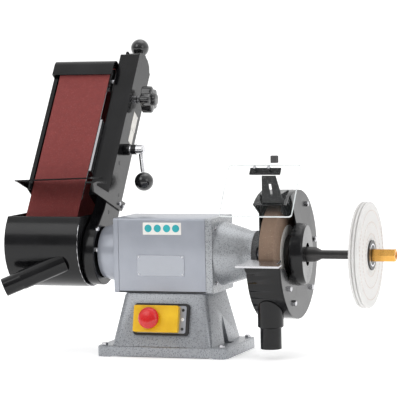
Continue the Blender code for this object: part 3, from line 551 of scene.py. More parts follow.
@dataclass(frozen=True)
class Eased:
    """A CAD piece with its edges eased, as a file, a casting or a press leaves them."""

    node: str
    finish: Finish
    width: float = 0.0007
    steps: int = 2

    def build(self) -> bpy.types.Object:
        """Copy the node, ease its edges and stand for it.

        Returns:
            The piece that replaces the node.
        """
        bm = bmesh.new()
        bm.from_mesh(bpy.data.objects[self.node].data)
        bmesh.ops.remove_doubles(bm, verts=bm.verts, dist=1e-5)
        bmesh.ops.dissolve_limit(bm, angle_limit=radians(0.6), verts=bm.verts, edges=bm.edges)
        mesh = bpy.data.meshes.new(f"{self.node}_eased")
        bm.to_mesh(mesh)
        bm.free()
        mesh.shade_smooth()
        mesh.set_sharp_from_angle(angle=SMOOTH_ANGLE)
        mesh.materials.clear()
        mesh.materials.append(self.finish.material())
        piece = bpy.data.objects.new(f"{self.node}_eased", mesh)
        bpy.context.scene.collection.objects.link(piece)
        if self.width:
            self._bevel(piece)
        return mount(piece, self.finish, rides_with(self.node), [self.node])

    def _bevel(self, piece: bpy.types.Object) -> None:
        """Round the sharp edges and keep the flat faces flat."""
        bevel = piece.modifiers.new("eased_edges", "BEVEL")
        bevel.width = self.width
        bevel.segments = self.steps
        bevel.limit_method = "ANGLE"
        bevel.angle_limit = radians(38)
        bevel.harden_normals = True
        bevel.use_clamp_overlap = True


@dataclass(frozen=True)
class Plain:
    """A CAD piece whose shape is right, dressed in its finish."""

    node: str
    finish: Finish

    def build(self) -> bpy.types.Object:
        """Give the node its material."""
        piece = bpy.data.objects[self.node]
        for held in piece.material_slots:
            held.material = self.finish.material()
        LOG.info("%s keeps its shape in %s", self.node, self.finish.name)
        return piece


EASED = [
    Eased("pedestal", HAMMERED, 0.0016, 3), Eased("motor_casing", SMOOTH_GREY, 0.0008),
    Eased("left_end_bell", SMOOTH_GREY, 0.0012, 3), Eased("right_end_bell", BELL_GREY, 0.0012, 3),
    Eased("cable_gland", BLACK_MOULD, 0.0004), Eased("switch_plate", BLACK_MOULD, 0.0006),
    Eased("switch_flap", YELLOW, 0.0006), Eased("stop_button", RED, 0.0006),
    Eased("start_button", GREEN, 0.0006), Eased("stop_head", RED, 0.0006),
    Eased("wheel_guard", BLACK_GLOSS, 0.0), Eased("guard_cover", BLACK_GLOSS, 0.0006),
    Eased("guard_spigot", BLACK_GLOSS, 0.0006), Eased("tool_rest", STEEL, 0.0006),
    Eased("rest_bracket", BLACK_GLOSS, 0.0004), Eased("shield_post", BLACK_GLOSS, 0.0005),
    Eased("shield_bar", BLACK_GLOSS, 0.0006), Eased("eye_shield", CLEAR, 0.0004),
    Eased("shaft_extension", DARK_STEEL, 0.0004), Eased("inner_buff_washer", DARK_STEEL, 0.0004),
    Eased("outer_buff_washer", DARK_STEEL, 0.0004), Eased("grinding_wheel", WHEEL_STONE, 0.0008),
    Eased("arm_frame", BLACK_GLOSS, 0.0012, 3), Eased("belt_back_cover", BLACK_GLOSS, 0.0005),
    Eased("top_cover", BLACK_GLOSS, 0.0005), Eased("belt_hood", BLACK_GLOSS, 0.0007),
    Eased("belt_dust_spigot", BLACK_GLOSS, 0.0004), Eased("lever_fork", BLACK_GLOSS, 0.0005),
    Eased("clamp_collar", BLACK_GLOSS, 0.0006), Eased("clamp_lever", TURNED_STEEL, 0.0005),
    Eased("work_table", BLACK_GLOSS, 0.0006), Eased("table_bracket", BLACK_GLOSS, 0.0006),
    Eased("platen", STEEL, 0.0004), Eased("tension_carriage", DARK_STEEL, 0.0006),
    Eased("tracking_screw", TURNED_STEEL, 0.0004), Eased("rating_plate", PLATE, 0.0002),
    Eased("sanding_belt", BELT_CLOTH, 0.0003),
]
PLAIN = [
    Plain("bottom_cover", DARK_STEEL), Plain("capacitor", BLACK_MOULD), Plain("stator", COPPER),
    Plain("left_bearing", TURNED_STEEL), Plain("right_bearing", TURNED_STEEL),
    Plain("motor_shaft", TURNED_STEEL), Plain("rotor", DARK_STEEL), Plain("drive_wheel", RUBBER),
    Plain("drive_wheel_nut", STEEL), Plain("inner_flange", DARK_STEEL), Plain("outer_flange", DARK_STEEL),
    Plain("idler_axle", TURNED_STEEL), Plain("idler_roller", TURNED_STEEL),
]


# ---------------------------------------------------------------- places that the details share

LEAN = 35.5
ARM = Matrix.Translation((0.0, 0.0, AXIS_Z)) @ Matrix.Rotation(radians(-LEAN), 4, "X")
SHAFT = Matrix.Translation((0.0, 0.0, AXIS_Z))
RIGHT, LEFT, FRONT, UP = (Vector(way) for way in ((1, 0, 0), (-1, 0, 0), (0, -1, 0), (0, 0, 1)))
FLAT_ON_FRONT = Matrix(((0, 1, 0, 0), (-1, 0, 0, 0), (0, 0, 1, 0), (0, 0, 0, 1)))
CASING_FACE = -0.0625
FRAME_SIDE = -0.145
COVER_FACE = 0.249
STICKER = 0.0003


def on_arm(x: float, y: float, z: float) -> Vector:
    """Carry a point of the belt arm's own frame to the machine's."""
    return ARM @ Vector((x, y, z))


def span(node: str) -> tuple[Vector, Vector]:
    """Measure a CAD node.

    Args:
        node: Name of the node.

    Returns:
        Its lowest and its highest corner.
    """
    piece = bpy.data.objects[node]
    corners = [piece.matrix_world @ vert.co for vert in piece.data.vertices]
    return (Vector([min(c[i] for c in corners) for i in range(3)]),
            Vector([max(c[i] for c in corners) for i in range(3)]))


def sphere(bm: bmesh.types.BMesh, centre: Vector, radius: float, steps: int = 20) -> None:
    """Add a smooth ball."""
    turns = [pi * i / steps for i in range(steps + 1)]
    lathe(bm, [(-radius * cos(t), radius * sin(t)) for t in turns], Matrix.Translation(centre))


def bridge(bm: bmesh.types.BMesh, loops: Sequence[list]) -> None:
    """Join each loop of vertices to the next with a band of faces.

    Args:
        bm: The mesh that holds the vertices.
        loops: Loops with the same number of vertices.
    """
    for first, second in zip(loops, loops[1:]):
        for i, vert in enumerate(first):
            j = (i + 1) % len(first)
            bm.faces.new((vert, first[j], second[j], second[i]))


def hoop(low: float, high: float, inner: float, outer: float) -> list[tuple[float, float]]:
    """Return the profile of a flat ring for lathe()."""
    return [(low, inner), (low, outer), (high, outer), (high, inner)]


# ---------------------------------------------------------------- fasteners and stitches

class Head(Enum):
    """Sides of a fastener's head; many sides make it round."""

    HEX = 6
    ROUND = 24


class HeadsTree:
    """Geometry Nodes tree that sets a crowned head on every point, facing its 'facing' attribute."""

    NAME = "fastener_heads"
    SIZES = (("Sides", "Int", 6), ("Radius", "Float", 0.004), ("Height", "Float", 0.003),
             ("Crown", "Float", 0.001), ("Seed", "Int", 11))
    CROWN_TAPER = 0.72

    def tree(self) -> bpy.types.GeometryNodeTree:
        """Return the tree, built the first time it is asked for."""
        return bpy.data.node_groups.get(self.NAME) or self._built()

    def _built(self) -> bpy.types.GeometryNodeTree:
        """Build the tree: a head, its turn and its place, made solid and dressed."""
        self.made = bpy.data.node_groups.new(self.NAME, "GeometryNodeTree")
        face = self.made.interface
        for way in ("INPUT", "OUTPUT"):
            face.new_socket("Geometry", in_out=way, socket_type="NodeSocketGeometry")
        for label, kind, value in self.SIZES:
            face.new_socket(label, in_out="INPUT", socket_type=f"NodeSocket{kind}").default_value = value
        face.new_socket("Finish", in_out="INPUT", socket_type="NodeSocketMaterial")
        enter = self._node("NodeGroupInput").outputs
        placed = self._node("GeometryNodeInstanceOnPoints", Points=enter["Geometry"],
                            Instance=self._head(enter),
                            Rotation=self._turn(enter))
        solid = self._node("GeometryNodeRealizeInstances", Geometry=placed.outputs["Instances"])
        dressed = self._node("GeometryNodeSetMaterial", Geometry=solid.outputs["Geometry"],
                             Material=enter["Finish"])
        self._node("NodeGroupOutput", Geometry=dressed.outputs["Geometry"])
        return self.made

    def _node(self, kind: str, **inputs: object) -> bpy.types.Node:
        """Add a node and fill its inputs.

        Args:
            kind: Blender's name for the node.
            inputs: Sockets or plain values by input name, with _ for a space.

        Returns:
            The node.
        """
        node = self.made.nodes.new(kind)
        for name, value in inputs.items():
            socket = node.inputs[name.replace("_", " ")]
            if isinstance(value, bpy.types.NodeSocket):
                self.made.links.new(value, socket)
            else:
                socket.default_value = value
        return node

    def _scaled(self, value: object, factor: float) -> object:
        """Return a socket's value times a factor."""
        node = self.made.nodes.new("ShaderNodeMath")
        node.operation = "MULTIPLY"
        node.inputs[1].default_value = factor
        self.made.links.new(value, node.inputs[0])
        return node.outputs[0]

    def _head(self, enter: object) -> object:
        """Return the geometry of one head: a barrel and its crown."""
        barrel = self._node("GeometryNodeMeshCylinder", Vertices=enter["Sides"], Radius=enter["Radius"],
                            Depth=enter["Height"])
        crown = self._node("GeometryNodeMeshCone", Vertices=enter["Sides"], Radius_Bottom=enter["Radius"],
                           Radius_Top=self._scaled(enter["Radius"], self.CROWN_TAPER), Depth=enter["Crown"])
        seat = self._node("ShaderNodeCombineXYZ", Z=self._scaled(enter["Height"], 0.5))
        lifted = self._node("GeometryNodeTransform", Geometry=crown.outputs["Mesh"],
                            Translation=seat.outputs[0])
        joined = self._node("GeometryNodeJoinGeometry", Geometry=barrel.outputs["Mesh"])
        self.made.links.new(lifted.outputs["Geometry"], joined.inputs[0])
        return joined.outputs["Geometry"]

    def _turn(self, enter: object) -> object:
        """Return the rotation of each head: its facing, then a chance turn about it."""
        facing = self.made.nodes.new("GeometryNodeInputNamedAttribute")
        facing.data_type = "FLOAT_VECTOR"
        facing.inputs["Name"].default_value = "facing"
        align = self.made.nodes.new("FunctionNodeAlignRotationToVector")
        align.axis = "Z"
        self.made.links.new(facing.outputs["Attribute"], align.inputs["Vector"])
        chance = self.made.nodes.new("FunctionNodeRandomValue")
        chance.data_type = "FLOAT_VECTOR"
        chance.inputs["Min"].default_value = (0.0, 0.0, 0.0)
        chance.inputs["Max"].default_value = (0.0, 0.0, 2 * pi)
        self.made.links.new(enter["Seed"], chance.inputs["Seed"])
        spun = self.made.nodes.new("FunctionNodeRotateRotation")
        spun.rotation_space = "LOCAL"
        self.made.links.new(align.outputs["Rotation"], spun.inputs["Rotation"])
        self.made.links.new(chance.outputs["Value"], spun.inputs["Rotate By"])
        return spun.outputs["Rotation"]


@dataclass(frozen=True)
class Fasteners:
    """A set of like heads on one body, grown from points by Geometry Nodes.

    Attributes:
        name: Name of the piece.
        node: A CAD node of the body that it rides on.
        finish: The heads' finish.
        seats: Pairs of a point and the way that its head faces.
    """

    name: str
    node: str
    finish: Finish
    seats: tuple
    head: Head = Head.HEX
    radius: float = 0.0045
    height: float = 0.004
    crown: float = 0.001
    seed: int = 11

    def build(self) -> bpy.types.Object:
        """Grow the heads and keep them as a plain mesh.

        Returns:
            The finished piece.
        """
        points = bpy.data.meshes.new(f"{self.name}_points")
        points.from_pydata([tuple(at) for at, _ in self.seats], [], [])
        facing = points.attributes.new("facing", "FLOAT_VECTOR", "POINT")
        for slot, (_, toward) in zip(facing.data, self.seats):
            slot.vector = tuple(toward)
        source = bpy.data.objects.new(f"{self.name}_points", points)
        bpy.context.scene.collection.objects.link(source)
        tree = HeadsTree().tree()
        grown = source.modifiers.new("heads", "NODES")
        grown.node_group = tree
        sockets = {item.name: item.identifier for item in tree.interface.items_tree
                   if item.in_out == "INPUT"}
        for label, value in (("Sides", self.head.value), ("Radius", self.radius), ("Height", self.height),
                             ("Crown", self.crown), ("Seed", self.seed), ("Finish", self.finish.material())):
            grown[sockets[label]] = value
        bpy.context.view_layer.update()
        seen = source.evaluated_get(bpy.context.evaluated_depsgraph_get())
        mesh = bpy.data.meshes.new_from_object(seen)
        mesh.name = self.name
        bpy.data.objects.remove(source, do_unlink=True)
        mesh.shade_smooth()
        mesh.set_sharp_from_angle(angle=SMOOTH_ANGLE)
        piece = bpy.data.objects.new(self.name, mesh)
        bpy.context.scene.collection.objects.link(piece)
        return mount(piece, self.finish, rides_with(self.node))


@dataclass(frozen=True)
class Strips:
    """Thin flat details on one body: each is an outline and a depth in its own place.

    Attributes:
        name: Name of the piece.
        node: A CAD node of the body that it rides on.
        finish: The strips' finish.
        parts: Tuples of outline, low, high and place, as slab() takes them.
    """

    name: str
    node: str
    finish: Finish
    parts: tuple

    def build(self) -> bpy.types.Object:
        """Add every outline to one piece."""
        bm = bmesh.new()
        for outline, low, high, place in self.parts:
            slab(bm, outline, low, high, place)
        return settle(self.name, bm, self.finish, rides_with(self.node))


# ---------------------------------------------------------------- sub-assemblies

@dataclass(frozen=True)
class Handles:
    """Balls, star knob, coil and the other hand controls."""

    lever_hub: Point = (-0.168, -0.012, 0.4515)
    lever_lean: Point = (0.0, 0.33, 0.944)
    lever_reach: float = 0.0335
    lever_ball: float = 0.0184
    coil_root: Point = (-0.168, -0.016, 0.4087)
    coil_radius: float = 0.0058
    coil_length: float = 0.0208
    coil_turns: int = 6
    coil_steps: int = 16
    coil_wire: float = 0.0011
    clamp_root: Point = (FRAME_SIDE, -0.015, 0.227)
    clamp_reach: Point = (0.033, 0.0, 0.0)
    clamp_drop: Point = (0.10, 0.0, -0.99)
    clamp_length: float = 0.064
    clamp_ball: float = 0.0189
    star_root: Point = (FRAME_SIDE, -0.007, 0.352)
    star_radius: float = 0.0245
    star_lobe: float = 0.0035
    star_lobes: int = 5
    star_steps: int = 80
    knob_foot: Point = (0.229, -0.082, 0.370)
    knob_radius: float = 0.0071
    knob_rib: float = 0.0004
    knob_ribs: int = 24

    def build(self) -> None:
        """Make every control that the frame only blocks out."""
        self._tension()
        self._clamp()
        self._star()
        self._shield_knob()

    def _tension(self) -> None:
        """Ball-ended tension lever in its hub, and the coil under it."""
        hub = on_arm(*self.lever_hub)
        lean = (ARM.to_3x3() @ Vector(self.lever_lean)).normalized()
        bm = bmesh.new()
        lathe(bm, [(-0.0125, 0), (-0.0125, 0.008), (-0.0115, 0.009), (0.0115, 0.009), (0.0125, 0.008),
                   (0.0125, 0)],
              Matrix.Translation(hub), 32)
        lathe(bm, [(0.004, 0), (0.004, 0.004), (0.020, 0.0034), (0.020, 0)], frame_of(lean, hub), 20)
        sphere(bm, hub + lean * self.lever_reach, self.lever_ball)
        settle("tension_lever_ball", bm, LEVER_BLACK, rides_with("tension_lever"), ["tension_lever"])
        coil = bmesh.new()
        x, y, z = self.coil_root
        count = self.coil_turns * self.coil_steps
        route = []
        for i in range(count + 1):
            turn = 2 * pi * i / self.coil_steps
            route.append(on_arm(x + self.coil_radius * cos(turn), y + self.coil_radius * sin(turn),
                                z + self.coil_length * i / count))
        wire(coil, route, self.coil_wire)
        settle("tension_coil", coil, TURNED_STEEL, rides_with("tension_spring"), ["tension_spring"])

    def _clamp(self) -> None:
        """Black ball of the clamp lever, and the sleeve behind it."""
        root = on_arm(*self.clamp_root)
        drop = Vector(self.clamp_drop).normalized()
        bm = bmesh.new()
        sphere(bm, root + Vector(self.clamp_reach) + drop * self.clamp_length, self.clamp_ball)
        settle("clamp_ball_round", bm, BLACK_BALL, rides_with("clamp_ball"), ["clamp_ball"])
        sleeve = bmesh.new()
        lathe(sleeve, hoop(0.0150, 0.0255, 0.0090, 0.0101), Matrix.Translation(root), 36)
        settle("clamp_sleeve", sleeve, BLACK_GLOSS, rides_with("clamp_lever"))

    def _star(self) -> None:
        """Five-lobed knob with a round nose."""
        root = ARM @ Matrix.Translation(self.star_root)
        bm = bmesh.new()
        rings = []
        for along, scale in ((0.0125, 0.0), (0.0125, 0.90), (0.0138, 0.98), (0.0165, 1.0), (0.0300, 1.0),
                             (0.0328, 0.98), (0.0340, 0.90), (0.0345, 0.0)):
            ring = []
            for i in range(self.star_steps):
                turn = 2 * pi * i / self.star_steps
                radius = max(scale * (self.star_radius + self.star_lobe * cos(self.star_lobes * turn)),
                             0.0002)
                ring.append(bm.verts.new(root @ Vector((along, radius * cos(turn), radius * sin(turn)))))
            rings.append(ring)
        bridge(bm, rings)
        bm.faces.new(rings[0])
        bm.faces.new(rings[-1])
        nose = [(0.030, 0), (0.030, 0.013), (0.039, 0.0125), (0.0405, 0.011), (0.041, 0.008), (0.041, 0)]
        lathe(bm, nose, root, 40)
        settle("star_knob", bm, BLACK_BALL, rides_with("tracking_knob"), ["tracking_knob"])

    def _shield_knob(self) -> None:
        """Ribbed clamp knob of the eye shield."""
        steps = 2 * self.knob_ribs
        outline = []
        for i in range(steps):
            radius, turn = self.knob_radius + self.knob_rib * (i % 2), 2 * pi * i / steps
            outline.append((radius * cos(turn), radius * sin(turn)))
        place = frame_of(UP, self.knob_foot)
        bm = bmesh.new()
        slab(bm, outline, 0.0, 0.0132, place)
        lathe(bm, [(0.0125, 0), (0.0125, 0.0070), (0.0138, 0.0055), (0.0140, 0)], place, 32)
        settle("ribbed_knob", bm, BLACK_BALL, rides_with("shield_knob"), ["shield_knob"])


@dataclass(frozen=True)
class Spindle:
    """Stitched buff of cotton layers, its nut and the rims of its washers."""

    layers: int = 3
    bore: float = 0.0075
    rows: tuple = (0.040, 0.062, 0.084)
    stitch_gap: float = 0.0075
    stitch: tuple = (0.0007, 0.0046, 0.0004)
    nut_bore: float = 0.0066
    rim: tuple = (0.0190, 0.0215)
    rim_half: float = 0.0003

    def build(self) -> None:
        """Make the buff, its stitches, the nut and the rims."""
        low, high = span("buffing_wheel")
        self._buff(low, high)
        self._stitches(low.x, high.x)
        self._nut()
        for side, x in (("inner", span("inner_buff_washer")[0].x), ("outer", span("outer_buff_washer")[1].x)):
            ring = bmesh.new()
            lathe(ring, hoop(x - self.rim_half, x + self.rim_half, *self.rim), SHAFT, 64)
            settle(f"{side}_washer_rim", ring, TURNED_STEEL, rides_with("buffing_wheel"))

    def _buff(self, low: Vector, high: Vector) -> None:
        """Round-edged cotton layers, side by side."""
        thick, edge = (high.x - low.x) / self.layers, (high.z - low.z) / 2
        profile = [(low.x, self.bore)]
        for layer in range(self.layers):
            x = low.x + layer * thick
            profile += [(x + 0.0002, edge - 0.0045), (x + 0.0012, edge - 0.0012), (x + thick / 2, edge),
                        (x + thick - 0.0012, edge - 0.0012), (x + thick - 0.0002, edge - 0.0045)]
        profile.append((high.x, self.bore))
        bm = bmesh.new()
        lathe(bm, profile, SHAFT, 120)
        settle("cotton_buff", bm, COTTON, rides_with("buffing_wheel"), ["buffing_wheel"])

    def _stitches(self, *faces: float) -> None:
        """Rows of stitches round both faces of the buff."""
        seats = []
        for row in self.rows:
            count = int(2 * pi * row / self.stitch_gap)
            for i in range(count):
                turn = 2 * pi * i / count
                seats += [(SHAFT @ Vector((x, row * cos(turn), row * sin(turn))),
                           Vector((0, -sin(turn), cos(turn)))) for x in faces]
        Fasteners("buff_stitches", "buffing_wheel", THREAD, tuple(seats), Head.HEX, *self.stitch, 23).build()

    def _nut(self) -> None:
        """Hexagon nut with a turned collar."""
        low, high = span("spindle_nut")
        half = min(high.y - low.y, high.z - low.z) / 2
        nut = bmesh.new()
        slab(nut, [(half * cos(pi * i / 3), half * sin(pi * i / 3)) for i in range(6)], low.x + 0.0002,
             high.x - 0.0016, SHAFT)
        collar = high.x - 0.0018
        lathe(nut, [(collar, self.nut_bore), (collar, half * 0.93), (high.x, half * 0.78),
                    (high.x, self.nut_bore)],
              SHAFT, 48)
        settle("brass_nut", nut, BRASS, rides_with("spindle_nut"), ["spindle_nut"])


@dataclass(frozen=True)
class MotorTrim:
    """Label, rivets, screws and seam of the motor."""

    label: tuple = (0.0387, 0.0116, 0.0012, (-0.0034, 0.2438))
    label_depth: float = 0.0006
    disc_radius: float = 0.0072
    disc_depth: float = 0.0009
    disc_z: float = 0.2442
    discs_x: tuple = (-0.0312, -0.0125, 0.0063, 0.0245)
    seam_x: tuple = (-0.0925, 0.0825)
    seam_z: tuple = (0.1215, 0.1240)
    rivets_x: tuple = (-0.0515, 0.0365)
    rivets_z: tuple = (0.1565, 0.1895)
    rivet_lift: float = 0.0013
    rivet: tuple = (0.0015, 0.0008, 0.0005)
    screws_y: tuple = (-0.0475, 0.0475)
    screws_z: tuple = (0.1395, 0.2435)
    screws_x: tuple = (0.0985, -0.1045)
    screw: tuple = (0.0042, 0.003, 0.0012)

    def build(self) -> None:
        """Fit the trim to the casing and its bells."""
        self._flat("data_label", PAPER, [rounded(*self.label)], 0.0, self.label_depth)
        discs = [arc(self.disc_radius, 0, 348, 29, (x, self.disc_z)) for x in self.discs_x]
        self._flat("label_discs", TEAL, discs, self.label_depth, self.disc_depth)
        (x0, x1), (z0, z1) = self.seam_x, self.seam_z
        self._flat("casing_seam", BLACK_MOULD, [[(x0, z0), (x1, z0), (x1, z1), (x0, z1)]], 0.0, STICKER)
        rivets = [(Vector((x, CASING_FACE - self.rivet_lift, z)), FRONT)
                  for x in self.rivets_x for z in self.rivets_z]
        Fasteners("plate_rivets", "rating_plate", TURNED_STEEL, tuple(rivets), Head.ROUND,
                  *self.rivet).build()
        screws = [(Vector((x, y, z)), way) for x, way in zip(self.screws_x, (RIGHT, LEFT))
                  for y in self.screws_y for z in self.screws_z]
        Fasteners("bell_screws", "motor_casing", STEEL, tuple(screws), Head.ROUND, *self.screw).build()

    @staticmethod
    def _flat(name: str, finish: Finish, outlines: Sequence[list], low: float, high: float) -> None:
        """Set outlines, drawn in X and Z, on the casing's front."""
        place = Matrix(((0, -1, 0, 0), (-1, 0, 0, CASING_FACE), (0, 0, 1, 0), (0, 0, 0, 1)))
        parts = tuple(([(-a, b) for a, b in outline], low, high, place) for outline in outlines)
        Strips(name, "motor_casing", finish, parts).build()


@dataclass(frozen=True)
class WheelSide:
    """Papers of the grinding wheel, the visor, the painted highlight on the shield's edge and the guard's
    bolts.
    """

    papers_x: tuple = (0.1994, 0.2285)
    paper: tuple = (0.0365, 0.0560)
    paper_depth: float = 0.0006
    cheeks_x: tuple = (0.1935, 0.2340)
    visor_sheet: float = 0.0016
    cheek: tuple = ((-0.0640, 0.118), (-0.0170, 0.1235), (-0.0040, 0.0960), (-0.0080, 0.0720),
                    (-0.0300, 0.0700), (-0.0640, 0.0850))
    visor_roof: tuple = ((-0.0640, 0.1180), (-0.0170, 0.1218), (-0.0170, 0.1202), (-0.0640, 0.1164))
    visor_screw_at: Point = (0.2366, -0.0181, 0.2924)
    visor_screw: tuple = (0.0036, 0.002, 0.0012)
    bar: Point = (0.0, -0.094, 0.354)
    shield_tilt: float = 37.0
    shield_half: tuple = (0.0705, 0.0575)
    shield_centre: tuple = (0.2135, -0.0455)
    shield_corner: float = 0.006
    edge_width: float = 0.0012
    edge_depth: tuple = (0.0037, 0.0069)
    bolts: tuple = ((-0.069, -0.0585), (-0.040, -0.0885), (0.075, -0.070), (0.098, 0.020), (0.050, 0.092))
    bolt: tuple = (0.0055, 0.0042, 0.0016)
    bar_screws_x: tuple = (0.196, 0.2235)
    bar_screw: tuple = (0.0032, 0.003, 0.0012)

    def build(self) -> None:
        """Fit the wheel's papers and the guard's small parts."""
        papers = bmesh.new()
        for x in self.papers_x:
            lathe(papers, hoop(x, x + self.paper_depth, *self.paper), SHAFT, 96)
        settle("wheel_blotters", papers, PAPER, rides_with("grinding_wheel"))
        self._visor()
        self._shield_edge()
        bolts = [(Vector((COVER_FACE + 0.0020, y, z + AXIS_Z)), RIGHT) for y, z in self.bolts]
        Fasteners("cover_bolts", "guard_cover", STEEL, tuple(bolts), Head.HEX, *self.bolt).build()
        screws = [(Vector((x, -0.1002, 0.3625)), Vector((0, -0.8, 0.6))) for x in self.bar_screws_x]
        Fasteners("bar_screws", "shield_bar", STEEL, tuple(screws), Head.ROUND, *self.bar_screw).build()

    def _shield_edge(self) -> None:
        """Strip round the clear shield's cut edge, painted near white as the highlight that the edge catches.
        """
        tilt = Matrix.Rotation(radians(-self.shield_tilt), 4, "X")
        place = Matrix.Translation(self.bar) @ tilt @ FLAT_ON_FRONT
        half_a, half_b = self.shield_half
        outer = rounded(half_a, half_b, self.shield_corner, self.shield_centre, 3)
        inner = rounded(half_a - self.edge_width, half_b - self.edge_width, self.shield_corner - 0.001,
                        self.shield_centre, 3)
        low, high = self.edge_depth
        # The strip is a painted highlight along the edge of the clear shield.
        bm = bmesh.new()
        loops = [[bm.verts.new(place @ Vector((depth, a, b))) for a, b in outline]
                 for outline, depth in ((outer, low), (outer, high), (inner, high), (inner, low))]
        bridge(bm, loops + loops[:1])
        settle("shield_edge", bm, EDGE_HIGHLIGHT, rides_with("eye_shield"))

    def _visor(self) -> None:
        """Plate over the wheel's front opening, with a cheek on each side."""
        bm = bmesh.new()
        for x in self.cheeks_x:
            slab(bm, self.cheek, x, x + self.visor_sheet, SHAFT)
        slab(bm, self.visor_roof, self.cheeks_x[0], self.cheeks_x[1] + self.visor_sheet, SHAFT)
        settle("spark_visor", bm, BLACK_GLOSS, rides_with("wheel_guard"))
        Fasteners("visor_screw", "wheel_guard", STEEL, ((self.visor_screw_at, RIGHT),), Head.ROUND,
                  *self.visor_screw).build()


@dataclass(frozen=True)
class ArmTrim:
    """Stickers, screws and painted shade of three holes on the side of the belt arm, and a painted highlight
    along the hood's rim.
    """

    stickers: tuple = ((0.1765, 0.4371, 0.0115, 0.0190), (0.1563, 0.4089, 0.0100, 0.0150))
    sticker_reach: tuple = (-0.030, 0.010)
    holes: tuple = ((0.0889, 0.3605), (0.0822, 0.2975), (0.0257, 0.2681))
    hole_radius: float = 0.0040
    screws: tuple = ((-0.0400, 0.2400), (-0.0480, 0.2000), (0.0300, 0.1600))
    screw: tuple = (0.0048, 0.003, 0.0014)
    table_bolts: tuple = ((-0.1398, 0.0700, 0.2815), (-0.1398, 0.0870, 0.2745))
    table_bolt: tuple = (0.0042, 0.003, 0.0012)
    pin_at: Point = (-0.1518, -0.012, 0.4515)
    pin: tuple = (0.0038, 0.0018, 0.0009)
    hood_middle: tuple = (0.0, 0.2085)
    # Radii of the painted highlight ring on the hood's rim.
    hood_highlight: tuple = (0.0826, 0.0838)
    hood_highlight_x: tuple = (-0.1706, -0.1696)

    def build(self) -> None:
        """Fit the arm's and the hood's small parts."""
        self._stickers()
        # Matte black discs over three holes in the arm's side: painted shade inside the holes.
        holes = [arc(self.hole_radius, 0, 345, 23, self._local(*spot)) for spot in self.holes]
        self._flat("arm_slots", BLACK_MOULD, holes)
        screws = [(on_arm(FRAME_SIDE + 0.001, *self._local(*spot)), RIGHT) for spot in self.screws]
        Fasteners("arm_screws", "arm_frame", STEEL, tuple(screws), Head.HEX, *self.screw).build()
        bolts = tuple((spot, RIGHT) for spot in self.table_bolts)
        Fasteners("table_bolts", "table_bracket", STEEL, bolts, Head.HEX, *self.table_bolt).build()
        Fasteners("lever_pin", "arm_frame", STEEL, ((on_arm(*self.pin_at), RIGHT),), Head.ROUND,
                  *self.pin).build()
        # Thin steel ring on the lower front of the hood's black rim: a painted highlight where the edge
        # catches the light.
        inner, outer = self.hood_highlight
        outline = arc(outer, 150, 300, 40, self.hood_middle) + arc(inner, 300, 150, 40, self.hood_middle)
        ring = bmesh.new()
        slab(ring, outline, *self.hood_highlight_x, Matrix.Identity(4))
        settle("hood_end_line", ring, STEEL, rides_with("belt_hood"))

    @staticmethod
    def _local(y: float, z: float) -> tuple[float, float]:
        """Return a machine point's Y and Z in the arm's own frame."""
        spot = ARM.inverted() @ Vector((0.0, y, z))
        return spot.y, spot.z

    @staticmethod
    def _flat(name: str, finish: Finish, outlines: Sequence[list]) -> None:
        """Lay outlines, drawn in the arm's own Y and Z, on the side of the arm."""
        parts = tuple((outline, FRAME_SIDE, FRAME_SIDE + STICKER, ARM) for outline in outlines)
        Strips(name, "arm_frame", finish, parts).build()

    def _stickers(self) -> None:
        """Two blank white labels near the top of the arm."""
        low, high = self.sticker_reach
        labels = []
        for y, z, half_a, half_b in self.stickers:
            across, along = self._local(y, z)
            labels.append(rounded(half_a, half_b, 0.001, (max(min(across, high), low), along)))
        self._flat("arm_labels", PAPER, labels)


@dataclass(frozen=True)
class SwitchTrim:
    """Grey insert and screw of the switch, black discs painted as the shade in its two holes, and the foot's
    bolts.
    """

    at: tuple = (-0.001, 0.0715)
    body_foot: tuple = (0.0905, 0.021)
    body_head: tuple = (0.066, 0.1197)
    insert: tuple = (0.0500, 0.0262, 0.004)
    insert_depth: tuple = (0.0058, 0.0064)
    screw_at: Point = (0.0435, -0.0070, 0.0)
    screw: tuple = (0.0032, 0.0014, 0.0008)
    hole_radius: float = 0.0028
    holes_z: tuple = (-0.018, 0.018)
    feet: tuple = (0.118, 0.080, 0.0225)
    foot_bolt: tuple = (0.0062, 0.004, 0.0014)

    def build(self) -> None:
        """Fit the switch's small parts and the foot's bolts."""
        x, z = self.at
        (foot_y, foot_z), (head_y, head_z) = self.body_foot, self.body_head
        lean = atan((foot_y - head_y) / (head_z - foot_z))
        y = -(foot_y - tan(lean) * (z - foot_z))
        turn = Matrix.Translation((x, y, z)) @ Matrix.Rotation(-lean, 4, "X")
        face, away = turn @ FLAT_ON_FRONT, (turn.to_3x3() @ FRONT).normalized()
        low, high = self.insert_depth
        Strips("switch_insert", "switch_plate", SMOOTH_GREY, ((rounded(*self.insert), low, high,
                                                               face),)).build()
        Fasteners("switch_screw", "switch_plate", PALE_SCREW, ((turn @ Vector(self.screw_at), away),),
                  Head.ROUND, *self.screw).build()
        # Black discs on the insert: painted shade inside the switch's two holes.
        holes = tuple((arc(self.hole_radius, 0, 345, 23, (self.screw_at[0], rise)), high, high + STICKER,
                       face)
                      for rise in self.holes_z)
        Strips("switch_holes", "switch_plate", BLACK_MOULD, holes).build()
        half_x, half_y, top = self.feet
        feet = tuple((Vector((side_x * half_x, side_y * half_y, top)), UP)
                     for side_x in (-1, 1) for side_y in (-1, 1))
        Fasteners("foot_bolts", "pedestal", STEEL, feet, Head.HEX, *self.foot_bolt).build()


def assemblies() -> list:
    """Return the sub-assemblies in the order that they are built."""
    return [Handles(), Spindle(), MotorTrim(), WheelSide(), ArmTrim(), SwitchTrim()]


# ---------------------------------------------------------------- studio

